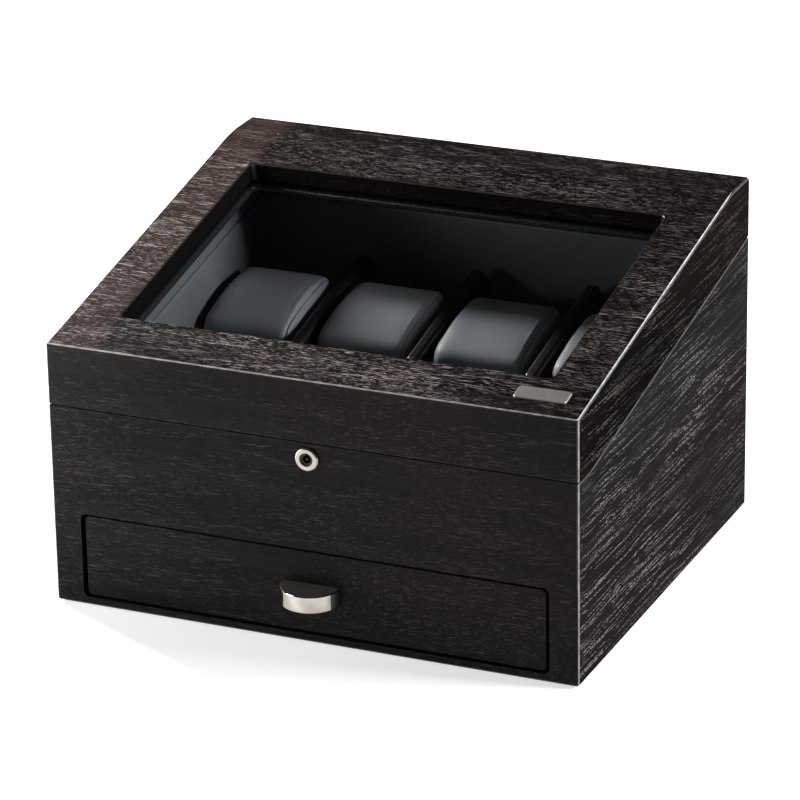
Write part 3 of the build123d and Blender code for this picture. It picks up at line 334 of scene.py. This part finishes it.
def pore_strength(s, spot):
    """How strongly the pores show, by face; fewer at the top's back and right and at the backs of the sides,
    partly grain and partly painted shade, and fewer on the left side as painted shade.
    """
    # painted shade: the pale pores fade towards the sides' backs, the top's back and right, and on the left side
    side = s.remap(spot.y, *SIDE_FADE, PORES_SIDE, PORES_SIDE_BACK_GRAIN_AND_SHADE, smooth=False)
    strength = s.plus(PORES_FRONT, s.times(spot.on_side, s.minus(side, PORES_FRONT)))
    strength = s.plus(strength, s.times(spot.on_top, PORES_TOP - PORES_FRONT))
    strip_x, strip_y = STRIP_PORES
    on_strip = s.times(s.below(spot.x, strip_x), s.below(spot.y, strip_y))
    spared = s.larger(s.flip(spot.on_top), on_strip)
    strength = s.times(strength, s.larger(s.remap(spot.y, *BACK_FADE, 1.0, PORES_BACK_GRAIN_AND_SHADE), spared))
    at_right = s.times(spot.on_top, s.remap(spot.x, *RIGHT_FADE, 0.0, 1.0 - PORES_RIGHT_GRAIN_AND_SHADE))
    strength = s.times(strength, s.flip(at_right))
    left_side = s.times(spot.on_side, s.below(spot.x, 0.0))
    return s.times(strength, s.flip(s.times(left_side, 1.0 - PORES_LEFT_SIDE_SHADE)))


def wood_ground(s, spot, grain, bands):
    """Dark ground with paler bands and brown zones; the sides' ground is paler, partly painted sheen; the lid's
    sides are darker than the base's; the lid's left strip is browner, partly its own colour and partly painted
    light.
    """
    ground = s.blend(bands, GROUND_DARK, GROUND_PALE)
    # painted sheen: the sides' ground is paler than the wood's own colour
    side = s.blend(bands, SIDE_GROUND_DARK_AND_SHEEN, SIDE_GROUND_PALE_AND_SHEEN)
    side = s.blend(s.times(spot.over_parting, 0.85), side, GROUND_DARK)
    ground = s.blend(spot.on_side, ground, side)
    brown = s.remap(s.stretched(grain, BROWNS, 1.0), 0.42, 0.66)
    ground = s.blend(s.times(brown, 0.5), ground, GROUND_BROWN)
    # painted light: the lid's left strip is browner, partly its own colour and partly light from the left
    left_strip = s.times(s.remap(spot.x, *STRIP_EDGE), spot.on_top)
    return s.blend(left_strip, ground, LEFT_STRIP_BROWN_AND_LIGHT)


def painted_edge_highlights_and_shade(s, spot, colour):
    """A colour with painted highlights on the arrises and painted shade on the walls of the openings, and the mask
    of the arrises.
    """
    widest = s.larger(s.larger(spot.ax, spot.ay), spot.az)
    arris = s.remap(widest, 0.955, 0.90)
    in_depth = s.times(s.above(spot.y, WINDOW_NEAR), s.below(spot.y, WINDOW_FAR))
    in_window = s.times(s.below(spot.far_x, WINDOW_HALF), in_depth)
    on_lid = s.above(spot.rise, TOP_RISE)
    at_corner = s.above(s.math("ABSOLUTE", spot.y), CORNER_HALF)
    at_outside = s.above(spot.far_x, OUTER_HALF)
    outer = s.times(s.larger(s.times(at_outside, at_corner), on_lid), s.flip(in_window))
    tone = s.remap(s.noise(spot.place, 160.0, 2.0), 0.3, 0.7, 0.6, 1.0)
    # painted shade on the edges round the drawer, below its top
    inner_edge = s.blend(s.below(spot.z, DRAWER_TOP), HIGHLIGHT_DIM, RECESS_SHADE)
    inner_edge = s.blend(at_outside, inner_edge, HIGHLIGHT_SEAM)
    # painted highlights on the arrises, chosen by place and varied at random by tone
    edge = s.blend(outer, inner_edge, s.blend(on_lid, HIGHLIGHT_UPRIGHTS, HIGHLIGHT_LID))
    colour = s.blend(s.times(arris, tone), colour, edge)
    # painted shade on the window's cut walls, on ledges seen through gaps and on the inner walls of the openings
    cut = s.times(in_window, s.flip(arris))
    inner_wall = s.times(spot.on_side, s.below(spot.far_x, INNER_HALF))
    shaded_walls = s.larger(s.larger(cut, spot.on_ledge), inner_wall)
    return s.blend(shaded_walls, colour, RECESS_SHADE), arris


def veneer(name):
    """Charcoal open-grain veneer, lacquered in front and on top and drier on the sides."""
    s = Shader(name)
    spot = Spot(s)
    grain = grain_place(s, spot)
    bent = bend_grain(s, grain)
    pores = s.math("MULTIPLY", pore_pattern(s, spot, grain, bent), pore_strength(s, spot), clamp=True)
    bands = s.remap(s.stretched(bent, BANDS, 3.0, 0.55), 0.3, 0.7)
    side_pore = s.blend(spot.over_parting, PORE_COLOUR_SIDE, PORE_COLOUR_LID_SIDE)
    # the top's paler pores carry painted sheen
    pore = s.blend(spot.on_side, s.blend(spot.on_top, PORE_COLOUR, TOP_PORE_COLOUR_AND_SHEEN), side_pore)
    wood = s.blend(pores, wood_ground(s, spot, grain, bands), pore)
    colour, arris = painted_edge_highlights_and_shade(s, spot, wood)

    rough = s.plus(0.36, s.times(pores, 0.2))
    rough = s.plus(rough, s.times(s.minus(bands, 0.5), 0.08))
    rough = s.minus(rough, s.times(arris, 0.1))
    relief = s.minus(s.times(s.stretched(bent, FIBRES, 2.0), 0.35), s.times(pores, 0.5))
    normal = s.bump(relief, 0.00022, 0.55)
    lacquered = s.principled(normal, Base_Color=colour, Roughness=rough, Specular_IOR_Level=0.07)
    dry = s.principled(normal, Base_Color=colour, Roughness=rough, Specular_IOR_Level=0.0)
    s.mixed(spot.on_side, lacquered, dry)
    return s.material


# ---- the other materials --------------------------------------------------------------------------
def stained_board(name):
    """Matt black stained board of the hidden carcass and the drawer box."""
    s = Shader(name)
    place = s.coords.outputs["Object"]
    fibres = s.stretched(place, (900.0, 60.0, 900.0), 3.0)
    wide = s.stretched(place, (120.0, 9.0, 120.0), 2.0)
    colour = s.blend(s.remap(fibres, 0.35, 0.7), rgb(0.012, 0.011, 0.011), rgb(0.030, 0.026, 0.024))
    colour = s.blend(s.remap(wide, 0.45, 0.7, 0.0, 0.4), colour, rgb(0.022, 0.018, 0.016))
    rough = s.remap(fibres, 0.3, 0.7, 0.5, 0.66)
    s.principled(s.bump(fibres, 0.00015, 0.5), Base_Color=colour, Roughness=rough)
    return s.material


def leatherette(name, dark, pale, pebble, roughness, relief, bead_shade=None):
    """Coated cloth with a fine pebble grain; an optional darker colour paints shade on the glass retainer's
    rounded edge under the window frame.
    """
    s = Shader(name)
    place = s.coords.outputs["Object"]
    drift = s.noise(place, 260.0, 2.0)
    moved = s.vector("ADD", place, s.join(s.times(drift, 0.0009), 0.0, s.times(drift, 0.0007)))
    cells = s.voronoi(moved, 1.0 / pebble, "SMOOTH_F1", 0.45)
    fine = s.noise(place, 2.2 / pebble, 2.0)
    mottle = s.noise(place, 28.0, 3.0)
    height = s.minus(s.times(fine, 0.35), cells)
    tone = s.remap(s.plus(s.times(mottle, 0.8), s.times(height, 0.25)), 0.1, 0.6)
    colour = s.blend(tone, dark, pale)
    if bead_shade is not None:
        x, y, z = s.split(place)
        on_bead = s.above(s.minus(z, s.times(y, LID_SLOPE)), RETAINER_RISE)
        # painted shade: the retainer's rounded edge under the window frame is darker
        colour = s.blend(on_bead, colour, bead_shade)
        roughness = s.minus(roughness, s.times(on_bead, 0.2))
    rough = s.plus(roughness, s.times(s.minus(mottle, 0.5), 0.12))
    rough = s.plus(rough, s.times(cells, 0.08))
    normal = s.bump(height, relief, 0.6)
    s.principled(normal, Base_Color=colour, Roughness=rough, Specular_IOR_Level=0.5)
    return s.material


def metal(name, colour, roughness, brushed=0.0, direction=(1.0, 1.0, 1.0), smudge=0.04):
    """Metal with fine brushing along one direction and faint smudges."""
    s = Shader(name)
    place = s.coords.outputs["Object"]
    lines = s.stretched(place, tuple(4200.0 * part for part in direction), 2.0)
    marks = s.noise(place, 130.0, 3.0)
    rough = s.plus(roughness, s.times(s.minus(marks, 0.5), smudge * 2))
    rough = s.plus(rough, s.times(s.minus(lines, 0.5), brushed))
    darker = tuple(part * 0.86 for part in colour[:3]) + (1.0,)
    tint = s.blend(s.remap(marks, 0.35, 0.7), colour, darker)
    normal = s.bump(lines, 0.00003 + 0.0001 * brushed, 0.35)
    s.principled(normal, Base_Color=tint, Metallic=1.0, Roughness=rough)
    return s.material


def cast_pull(name, bright, reflection_dark):
    """Polished casting with dark patches painted in as reflections of the surroundings, and a satin top."""
    s = Shader(name)
    place = s.coords.outputs["Object"]
    nz = s.split(s.coords.outputs["Normal"])[2]
    flat = s.remap(nz, 0.80, 0.97)
    marks = s.noise(place, 220.0, 3.0)
    # painted reflection: dark patches on the rim stand for the surroundings mirrored in it
    patches = s.remap(s.stretched(place, (75.0, 75.0, 45.0), 1.0), 0.40, 0.62)
    patches = s.times(s.times(patches, s.flip(flat)), 0.8)
    rough = s.plus(0.10, s.times(flat, 0.36))
    rough = s.plus(rough, s.times(s.minus(marks, 0.5), 0.04))
    tint = s.blend(patches, bright, reflection_dark)
    normal = s.bump(s.noise(place, 2400.0, 2.0), 0.00002, 0.3)
    s.principled(normal, Base_Color=tint, Metallic=1.0, Roughness=rough)
    return s.material


def moulded(name, dark, pale, roughness, grain=900.0, relief=0.00006):
    """Moulded plastic or rubber with a spark-eroded texture."""
    s = Shader(name)
    place = s.coords.outputs["Object"]
    speckle = s.noise(place, grain, 3.0)
    cloud = s.noise(place, 60.0, 2.0)
    colour = s.blend(s.remap(s.plus(speckle, s.times(cloud, 0.5)), 0.5, 1.0), dark, pale)
    rough = s.plus(roughness, s.times(s.minus(cloud, 0.5), 0.16))
    s.principled(s.bump(speckle, relief, 0.6), Base_Color=colour, Roughness=rough)
    return s.material


def pile(name, dark, pale, scale, relief):
    """Felt or short velvet: tangled fibres with a soft sheen."""
    s = Shader(name)
    place = s.coords.outputs["Object"]
    tangle = s.noise(place, scale, 4.0, 0.7, 1.2)
    brushed = s.noise(place, 45.0, 3.0, 0.6)
    colour = s.blend(s.remap(tangle, 0.35, 0.68), dark, pale)
    colour = s.blend(s.remap(brushed, 0.4, 0.7, 0.0, 0.45), colour, pale)
    normal = s.bump(tangle, relief, 0.8)
    made = s.principled(normal, Base_Color=colour, Roughness=s.remap(tangle, 0.3, 0.7, 0.85, 1.0))
    made.inputs["Sheen Weight"].default_value = 0.35
    made.inputs["Sheen Roughness"].default_value = 0.5
    return s.material


def clear_glass(name):
    """Window glass: nearly all see-through, with a faint mirror at low angles."""
    s = Shader(name)
    through = s.node("BsdfTransparent")
    through.inputs["Color"].default_value = rgb(0.945, 0.95, 0.95)
    mirror = s.node("BsdfGlossy")
    mirror.inputs["Color"].default_value = rgb(0.9, 0.93, 0.95)
    smears = s.noise(s.coords.outputs["Object"], 35.0, 4.0, 0.6)
    mirror.inputs["Roughness"].default_value = 0.01
    facing = s.node("Fresnel")
    facing.inputs["IOR"].default_value = 1.3
    share = s.remap(smears, 0.3, 0.75, 0.32, 0.4)
    outside = s.flip(s.node("NewGeometry").outputs["Backfacing"])
    s.mixed(s.times(s.times(facing.outputs[0], share), outside), through, mirror)
    return s.material


def circuit_board(name):
    """Green solder mask with copper tracks under it."""
    s = Shader(name)
    place = s.coords.outputs["Object"]
    tracks = s.voronoi(place, 300.0, "DISTANCE_TO_EDGE")
    blotch = s.noise(place, 200.0, 2.0)
    colour = s.blend(s.remap(tracks, 0.05, 0.09), rgb(0.02, 0.13, 0.06), rgb(0.008, 0.05, 0.024))
    colour = s.blend(s.remap(blotch, 0.5, 0.7, 0.0, 0.3), colour, rgb(0.01, 0.07, 0.03))
    rough = s.remap(blotch, 0.3, 0.7, 0.3, 0.42)
    s.principled(s.bump(tracks, 0.00006, 0.4), Base_Color=colour, Roughness=rough)
    return s.material


MATERIALS = {
    "wood_veneer": veneer("charcoal_veneer"),
    "stained_board": stained_board("stained_board"),
    # the lining; its darker colour on the retainer's rounded edge is painted shade under the window frame
    "leatherette": leatherette(
        "lining_leatherette", rgb(0.088, 0.098, 0.107), rgb(0.108, 0.120, 0.130),
        0.0011, 0.42, 0.00016, bead_shade=rgb(0.016, 0.017, 0.018)),
    "divider_leatherette": leatherette(
        "divider_leatherette", rgb(0.008, 0.008, 0.009), rgb(0.014, 0.014, 0.015),
        0.0011, 0.34, 0.00010),
    "cushion_leatherette": leatherette(
        "cushion_leatherette", rgb(0.222, 0.237, 0.252), rgb(0.250, 0.267, 0.283),
        0.0009, 0.46, 0.00009),
    "velvet": pile("velvet", rgb(0.006, 0.006, 0.007), rgb(0.020, 0.021, 0.023), 2600.0, 0.0003),
    "felt": pile("felt", rgb(0.006, 0.006, 0.006), rgb(0.022, 0.022, 0.022), 1500.0, 0.0005),
    "glass": clear_glass("window_glass"),
    "satin_nickel": metal("satin_nickel", rgb(0.40, 0.365, 0.32), 0.24, 0.08, smudge=0.015),
    "chrome": cast_pull("cast_pull", rgb(0.60, 0.56, 0.51), rgb(0.24, 0.21, 0.19)),
    "lock_steel": metal("blackened_steel", rgb(0.030, 0.028, 0.026), 0.40, 0.10),
    "hinge_metal": metal("hinge_nickel", rgb(0.50, 0.47, 0.43), 0.30, 0.14, (0.1, 1.0, 1.0)),
    "shaft_steel": metal("ground_steel", rgb(0.56, 0.56, 0.57), 0.22, 0.12, (1.0, 0.2, 0.2)),
    "motor_steel": metal("zinc_plate", rgb(0.55, 0.55, 0.58), 0.38, 0.08),
    "black_plastic": moulded("moulded_black", rgb(0.010, 0.010, 0.011), rgb(0.028, 0.028, 0.030), 0.42),
    "belt_rubber": moulded(
        "belt_rubber", rgb(0.008, 0.008, 0.008), rgb(0.020, 0.020, 0.020), 0.7, 1600.0),
    "circuit_board": circuit_board("circuit_board"),
    "jack_plastic": moulded(
        "jack_plastic", rgb(0.006, 0.006, 0.007), rgb(0.016, 0.016, 0.017), 0.28, 700.0),
    "wire_insulation": moulded(
        "wire_insulation", rgb(0.012, 0.012, 0.013), rgb(0.030, 0.030, 0.032), 0.5, 1400.0),
}


# a node whose finish differs a little from the rest of its slot
SPECIAL = {
    "name_plate": metal("satin_plate", rgb(0.60, 0.57, 0.52), 0.44, 0.06, smudge=0.015),
}


def dress_nodes():
    """Give every CAD node the material of its slot."""
    for part in frame["record"]["subparts"]:
        thing = NODES[part["node"]]
        thing.data.materials.clear()
        thing.data.materials.append(SPECIAL.get(part["node"], MATERIALS[part["material_slot"]]))


# ---- cushions --------------------------------------------------------------------------------------
CUSHION_COUNT = 4
STUFFING_SCALE = (0.975, 0.95, 0.92)     # start of the simulation against the CAD cushion
FULLNESS = (0.995, 1.02, 1.05)           # size of the stuffed cover against the CAD cushion
VOXEL = 4.0 * MM
PRESSURE = 5.0
CLOTH_STEPS = 20
MOST_MOVE = 6.0 * MM
AROUND = 128                             # points round the cover
FAN = 14.0 * MM                          # where the rays start to lean towards an end
FAN_STEPS = 22
REACH = 32.0 * MM                        # usual distance from the axis to the cover
LAST_RING = 2.2 * MM                     # from the end, where the fan takes over
RING_STEPS = ((1.2 * MM, 0.14 * MM), (4.0 * MM, 0.4 * MM), (math.inf, 1.3 * MM))  # off the seam, step
STRAY = (0.9, 1.0, 0.955)                # share of the half length, lean; where such a hit is put
HUB = 14.0 * MM                          # round the axis the cover keeps its shape
HUB_BLEND = 8.0 * MM
SEAM_IN = 4.6 * MM                       # seam line from the cushion's end
SEAM_DEEP = 1.5 * MM
SEAM_WIDE = 0.42 * MM
SHOULDER = 0.45 * MM                     # swelling of the cover beside the seam
SHOULDER_OFF = 2.0 * MM
SHOULDER_WIDE = 1.3 * MM
TAPER_LONG = 15.0 * MM                   # the cover draws in towards each end
TAPER_DEEP = 1.0 * MM
TAPER_POWER = 2.4
LEFT_SEAM = 0.2                          # the far end's seam is drawn almost shut
CREASE = 0.006                           # of the radius
CREASE_SCALE = (55.0, 38.0)              # along and across the axis
CREASE_SHIFT = 7.3                       # from one cushion to the next


def joint_named(name):
    """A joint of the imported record."""
    return next(joint for joint in frame["joints"] if joint["name"] == name)


def cushion_middle(number):
    """Middle of a cushion on its turning axis."""
    low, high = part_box(f"watch_cushion_{number}")
    axis = joint_named("cushion_spin_left")["pos_m"]
    return Vector(((low.x + high.x) / 2, axis[1], axis[2]))


def bake_modifiers(thing):
    """Replace a mesh by what its modifiers make of it."""
    graph = bpy.context.evaluated_depsgraph_get()
    made = bpy.data.meshes.new_from_object(thing.evaluated_get(graph))
    thing.modifiers.clear()
    thing.data = made


def reach_of(mesh):
    """Half size of a mesh along each axis."""
    return [max(abs(vertex.co[axis]) for vertex in mesh.vertices) for axis in range(3)]


def inflate(source, middle):
    """Stuff a copy of the CAD cushion with cloth pressure and return its surface in local space.

    The local frame lies in the cushion: X along its axis, Z out of its top.
    """
    local = Matrix.Rotation(-SLOPE, 4, "X") @ Matrix.Translation(-middle)
    mesh = source.data.copy()
    mesh.transform(local)
    thing = bpy.data.objects.new("stuffing", mesh)
    bpy.context.scene.collection.objects.link(thing)
    size = reach_of(mesh)
    for vertex in mesh.vertices:
        vertex.co = Vector(tuple(part * scale for part, scale in zip(vertex.co, STUFFING_SCALE)))
    remesh = thing.modifiers.new("remesh", "REMESH")
    remesh.mode = "VOXEL"
    remesh.voxel_size = VOXEL
    bake_modifiers(thing)
    rest = [vertex.co.copy() for vertex in thing.data.vertices]
    cloth = thing.modifiers.new("cloth", "CLOTH")
    cloth.settings.use_pressure = True
    cloth.settings.uniform_pressure_force = PRESSURE
    cloth.settings.effector_weights.gravity = 0.0
    cloth.settings.quality = 6
    scene = bpy.context.scene
    for step in range(1, CLOTH_STEPS + 1):
        scene.frame_set(step)
    bake_modifiers(thing)
    scene.frame_set(1)
    for vertex, start in zip(thing.data.vertices, rest):
        move = vertex.co - start
        if move.length > MOST_MOVE:
            vertex.co = start + move.normalized() * MOST_MOVE
    relax = thing.modifiers.new("relax", "SMOOTH")
    relax.factor = 0.5
    relax.iterations = 3
    thing.modifiers.new("smooth", "SUBSURF").levels = 2
    bake_modifiers(thing)
    now = reach_of(thing.data)
    growth = [want * full / have for want, full, have in zip(size, FULLNESS, now)]
    for vertex in thing.data.vertices:
        vertex.co = Vector(tuple(part * scale for part, scale in zip(vertex.co, growth)))
    tree = BVHTree.FromObject(thing, bpy.context.evaluated_depsgraph_get())
    bpy.data.objects.remove(thing)
    return tree


def cushion_rings(half):
    """(origin x, lean) of each ring of rays, from one end to the other, closest at the seams."""
    side = []
    spot = 0.0
    while spot < half - LAST_RING:
        start = min(spot, half - FAN)
        side.append((start, math.atan2(spot - start, REACH)))
        off_seam = abs(spot - (half - SEAM_IN))
        spot += next(step for limit, step in RING_STEPS if off_seam < limit)
    last = side[-1][1]
    for step in range(1, FAN_STEPS):
        side.append((half - FAN, last + (math.pi / 2 - last) * step / FAN_STEPS))
    left = [(-start, -lean) for start, lean in reversed(side[1:])]
    return left + side


def seam_groove(x, half):
    """How far the cover is drawn in at a position along the cushion."""
    off = abs(x) - (half - SEAM_IN)
    groove = SEAM_DEEP * math.exp(-(off / SEAM_WIDE) ** 2)
    swell = SHOULDER * math.exp(-((abs(off) - SHOULDER_OFF) / SHOULDER_WIDE) ** 2)
    if x < 0:
        groove *= LEFT_SEAM
        swell *= LEFT_SEAM
    inward = max(0.0, abs(x) - (half - TAPER_LONG)) / TAPER_LONG
    return groove - swell + TAPER_DEEP * min(inward, 1.0) ** TAPER_POWER


def cover_point(number, tree, half, x, lean, turn):
    """Where a ray from the axis meets the stuffed shape, drawn in at the seams and faintly creased."""
    out = Vector((0, math.cos(turn), math.sin(turn)))
    way = out * math.cos(lean) + Vector((math.sin(lean), 0, 0))
    hit = tree.ray_cast(Vector((x, 0, 0)), way)[0]
    if hit is None:
        hit = Vector((x, 0, 0)) + way * 10 * MM
    stray_share, stray_lean, end_share = STRAY
    if abs(hit.x) < half * stray_share and abs(lean) > stray_lean:
        hit.x = math.copysign(half * end_share, lean)
    radial = Vector((0, hit.y, hit.z))
    span = radial.length
    if span > HUB:
        share = min(1.0, (span - HUB) / HUB_BLEND)
        radial *= (span - seam_groove(hit.x, half) * share) / span
    along, over = CREASE_SCALE
    crease = noise.noise(Vector((hit.x * along + number * CREASE_SHIFT, hit.y * over, hit.z * over)))
    soft = 1.0 + CREASE * crease
    return Vector((hit.x, radial.y * soft, radial.z * soft))


def close_end(mesh, row, flip):
    """Fan of triangles over the last ring of an end."""
    hub = mesh.verts.new(sum((vertex.co for vertex in row), Vector()) / AROUND)
    for step in range(AROUND):
        after = (step + 1) % AROUND
        mesh.faces.new((row[after], row[step], hub) if flip else (row[step], row[after], hub))


def sew_cushion(number, tree, half):
    """A cushion's cover, sampled from the stuffed shape, with seams sewn in."""
    mesh = bmesh.new()
    turns = [2 * math.pi * step / AROUND for step in range(AROUND)]
    rows = []
    for x, lean in cushion_rings(half):
        row = [mesh.verts.new(cover_point(number, tree, half, x, lean, turn)) for turn in turns]
        rows.append(row)
    for first, second in zip(rows, rows[1:]):
        for step in range(AROUND):
            after = (step + 1) % AROUND
            mesh.faces.new((first[step], first[after], second[after], second[step]))
    close_end(mesh, rows[0], True)
    close_end(mesh, rows[-1], False)
    bmesh.ops.recalc_face_normals(mesh, faces=mesh.faces)
    data = bpy.data.meshes.new(f"cushion_cover_{number}")
    mesh.to_mesh(data)
    mesh.free()
    for face in data.polygons:
        face.use_smooth = True
    data.materials.append(MATERIALS["cushion_leatherette"])
    cover = bpy.data.objects.new(f"cushion_cover_{number}", data)
    bpy.context.scene.collection.objects.link(cover)
    return cover


def cushions():
    """Four stuffed covers in place of the plain CAD cushions."""
    low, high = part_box("watch_cushion_1")
    half = (high.x - low.x) / 2
    tree = inflate(NODES["watch_cushion_1"], cushion_middle(1))
    for number in range(1, CUSHION_COUNT + 1):
        cover = sew_cushion(number, tree, half)
        place = Matrix.Translation(cushion_middle(number)) @ Matrix.Rotation(SLOPE, 4, "X")
        cover.data.transform(place)
        body = "cushion_pair_left" if number <= 2 else "cushion_pair_right"
        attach(cover, body)
        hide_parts(f"watch_cushion_{number}")


# ---- stage, lights and camera -------------------------------------------------------------------
FLOOR_HALF = 6.0
FLOOR_GREYS = (rgb(0.60, 0.60, 0.60), rgb(0.63, 0.63, 0.63))
FLOOR_GLOW = (0.20, 0.75, 0.62, 0.92)    # near and far distance, glow at each


def floor():
    """Pale floor that glows more in its far parts, like a lit studio sweep."""
    corners = [(x * FLOOR_HALF, y * FLOOR_HALF, 0) for x, y in ((-1, -1), (1, -1), (1, 1), (-1, 1))]
    data = bpy.data.meshes.new("floor")
    data.from_pydata(corners, [], [(0, 1, 2, 3)])
    thing = bpy.data.objects.new("floor", data)
    bpy.context.scene.collection.objects.link(thing)
    s = Shader("studio_floor")
    place = s.coords.outputs["Object"]
    faint = s.noise(place, 3.0, 3.0)
    length = s.node("VectorMath", operation="LENGTH")
    s.feed(length.inputs[0], place)
    made = s.principled(None, Base_Color=s.blend(faint, *FLOOR_GREYS), Roughness=0.9)
    made.inputs["Emission Color"].default_value = rgb(1, 1, 1)
    s.feed(made.inputs["Emission Strength"], s.remap(length.outputs["Value"], *FLOOR_GLOW))
    data.materials.append(s.material)


AIM = Vector((0.0, 0.0, 0.12))
# azimuth from the front towards the right, elevation, distance in m, width and height in m, watts
SOFTBOXES = {
    "key": (252, 31, 1.2, 0.16, 0.36, 28.0),
    "right": (96, 21, 1.2, 0.30, 0.30, 21.0),
    "front_left": (312, 4, 0.65, 0.30, 0.30, 3.1),
}
ROOM = 0.04


def softbox(name, azimuth, elevation, distance, width, height, watts):
    """Softbox on a dome round the box, aimed at its middle."""
    lamp = bpy.data.lights.new(name, "AREA")
    lamp.shape = "RECTANGLE"
    lamp.size = width
    lamp.size_y = height
    lamp.energy = watts
    turn, rise = math.radians(azimuth), math.radians(elevation)
    way = Vector((math.sin(turn) * math.cos(rise), -math.cos(turn) * math.cos(rise), math.sin(rise)))
    thing = bpy.data.objects.new(name, lamp)
    thing.location = AIM + way * distance
    thing.rotation_euler = (-way).to_track_quat("-Z", "Y").to_euler()
    bpy.context.scene.collection.objects.link(thing)


def lights():
    """Softboxes round the box in a dim room."""
    for name, setting in SOFTBOXES.items():
        softbox(name, *setting)
    world = bpy.data.worlds.new("studio")
    world.use_nodes = True
    background = world.node_tree.nodes["Background"]
    background.inputs[0].default_value = rgb(1, 1, 1)
    background.inputs[1].default_value = ROOM
    bpy.context.scene.world = world


CAMERA_PLACE = Vector((1.05164, -2.39501, 1.15452))
CAMERA_YAW = 0.41534                     # radians
CAMERA_PITCH = 0.38092
CAMERA_ROLL = -0.01730
CAMERA_LENS = 197.42                     # mm, on a sensor 36 mm wide
SENSOR = 36.0


def camera():
    """Camera at the photographer's place."""
    data = bpy.data.cameras.new("camera")
    data.lens = CAMERA_LENS
    data.sensor_width = SENSOR
    data.clip_end = 50.0
    thing = bpy.data.objects.new("camera", data)
    ahead = Vector((
        -math.sin(CAMERA_YAW) * math.cos(CAMERA_PITCH),
        math.cos(CAMERA_YAW) * math.cos(CAMERA_PITCH),
        -math.sin(CAMERA_PITCH),
    ))
    right = ahead.cross(Vector((0, 0, 1))).normalized()
    up = right.cross(ahead)
    right_rolled = math.cos(CAMERA_ROLL) * right + math.sin(CAMERA_ROLL) * up
    up_rolled = -math.sin(CAMERA_ROLL) * right + math.cos(CAMERA_ROLL) * up
    turn = Matrix((right_rolled, up_rolled, -ahead)).transposed().to_4x4()
    thing.matrix_world = Matrix.Translation(CAMERA_PLACE) @ turn
    bpy.context.scene.collection.objects.link(thing)
    bpy.context.scene.camera = thing


bpy.context.scene.view_settings.view_transform = "Standard"
camera()
lights()
floor()
dress_nodes()
cushions()
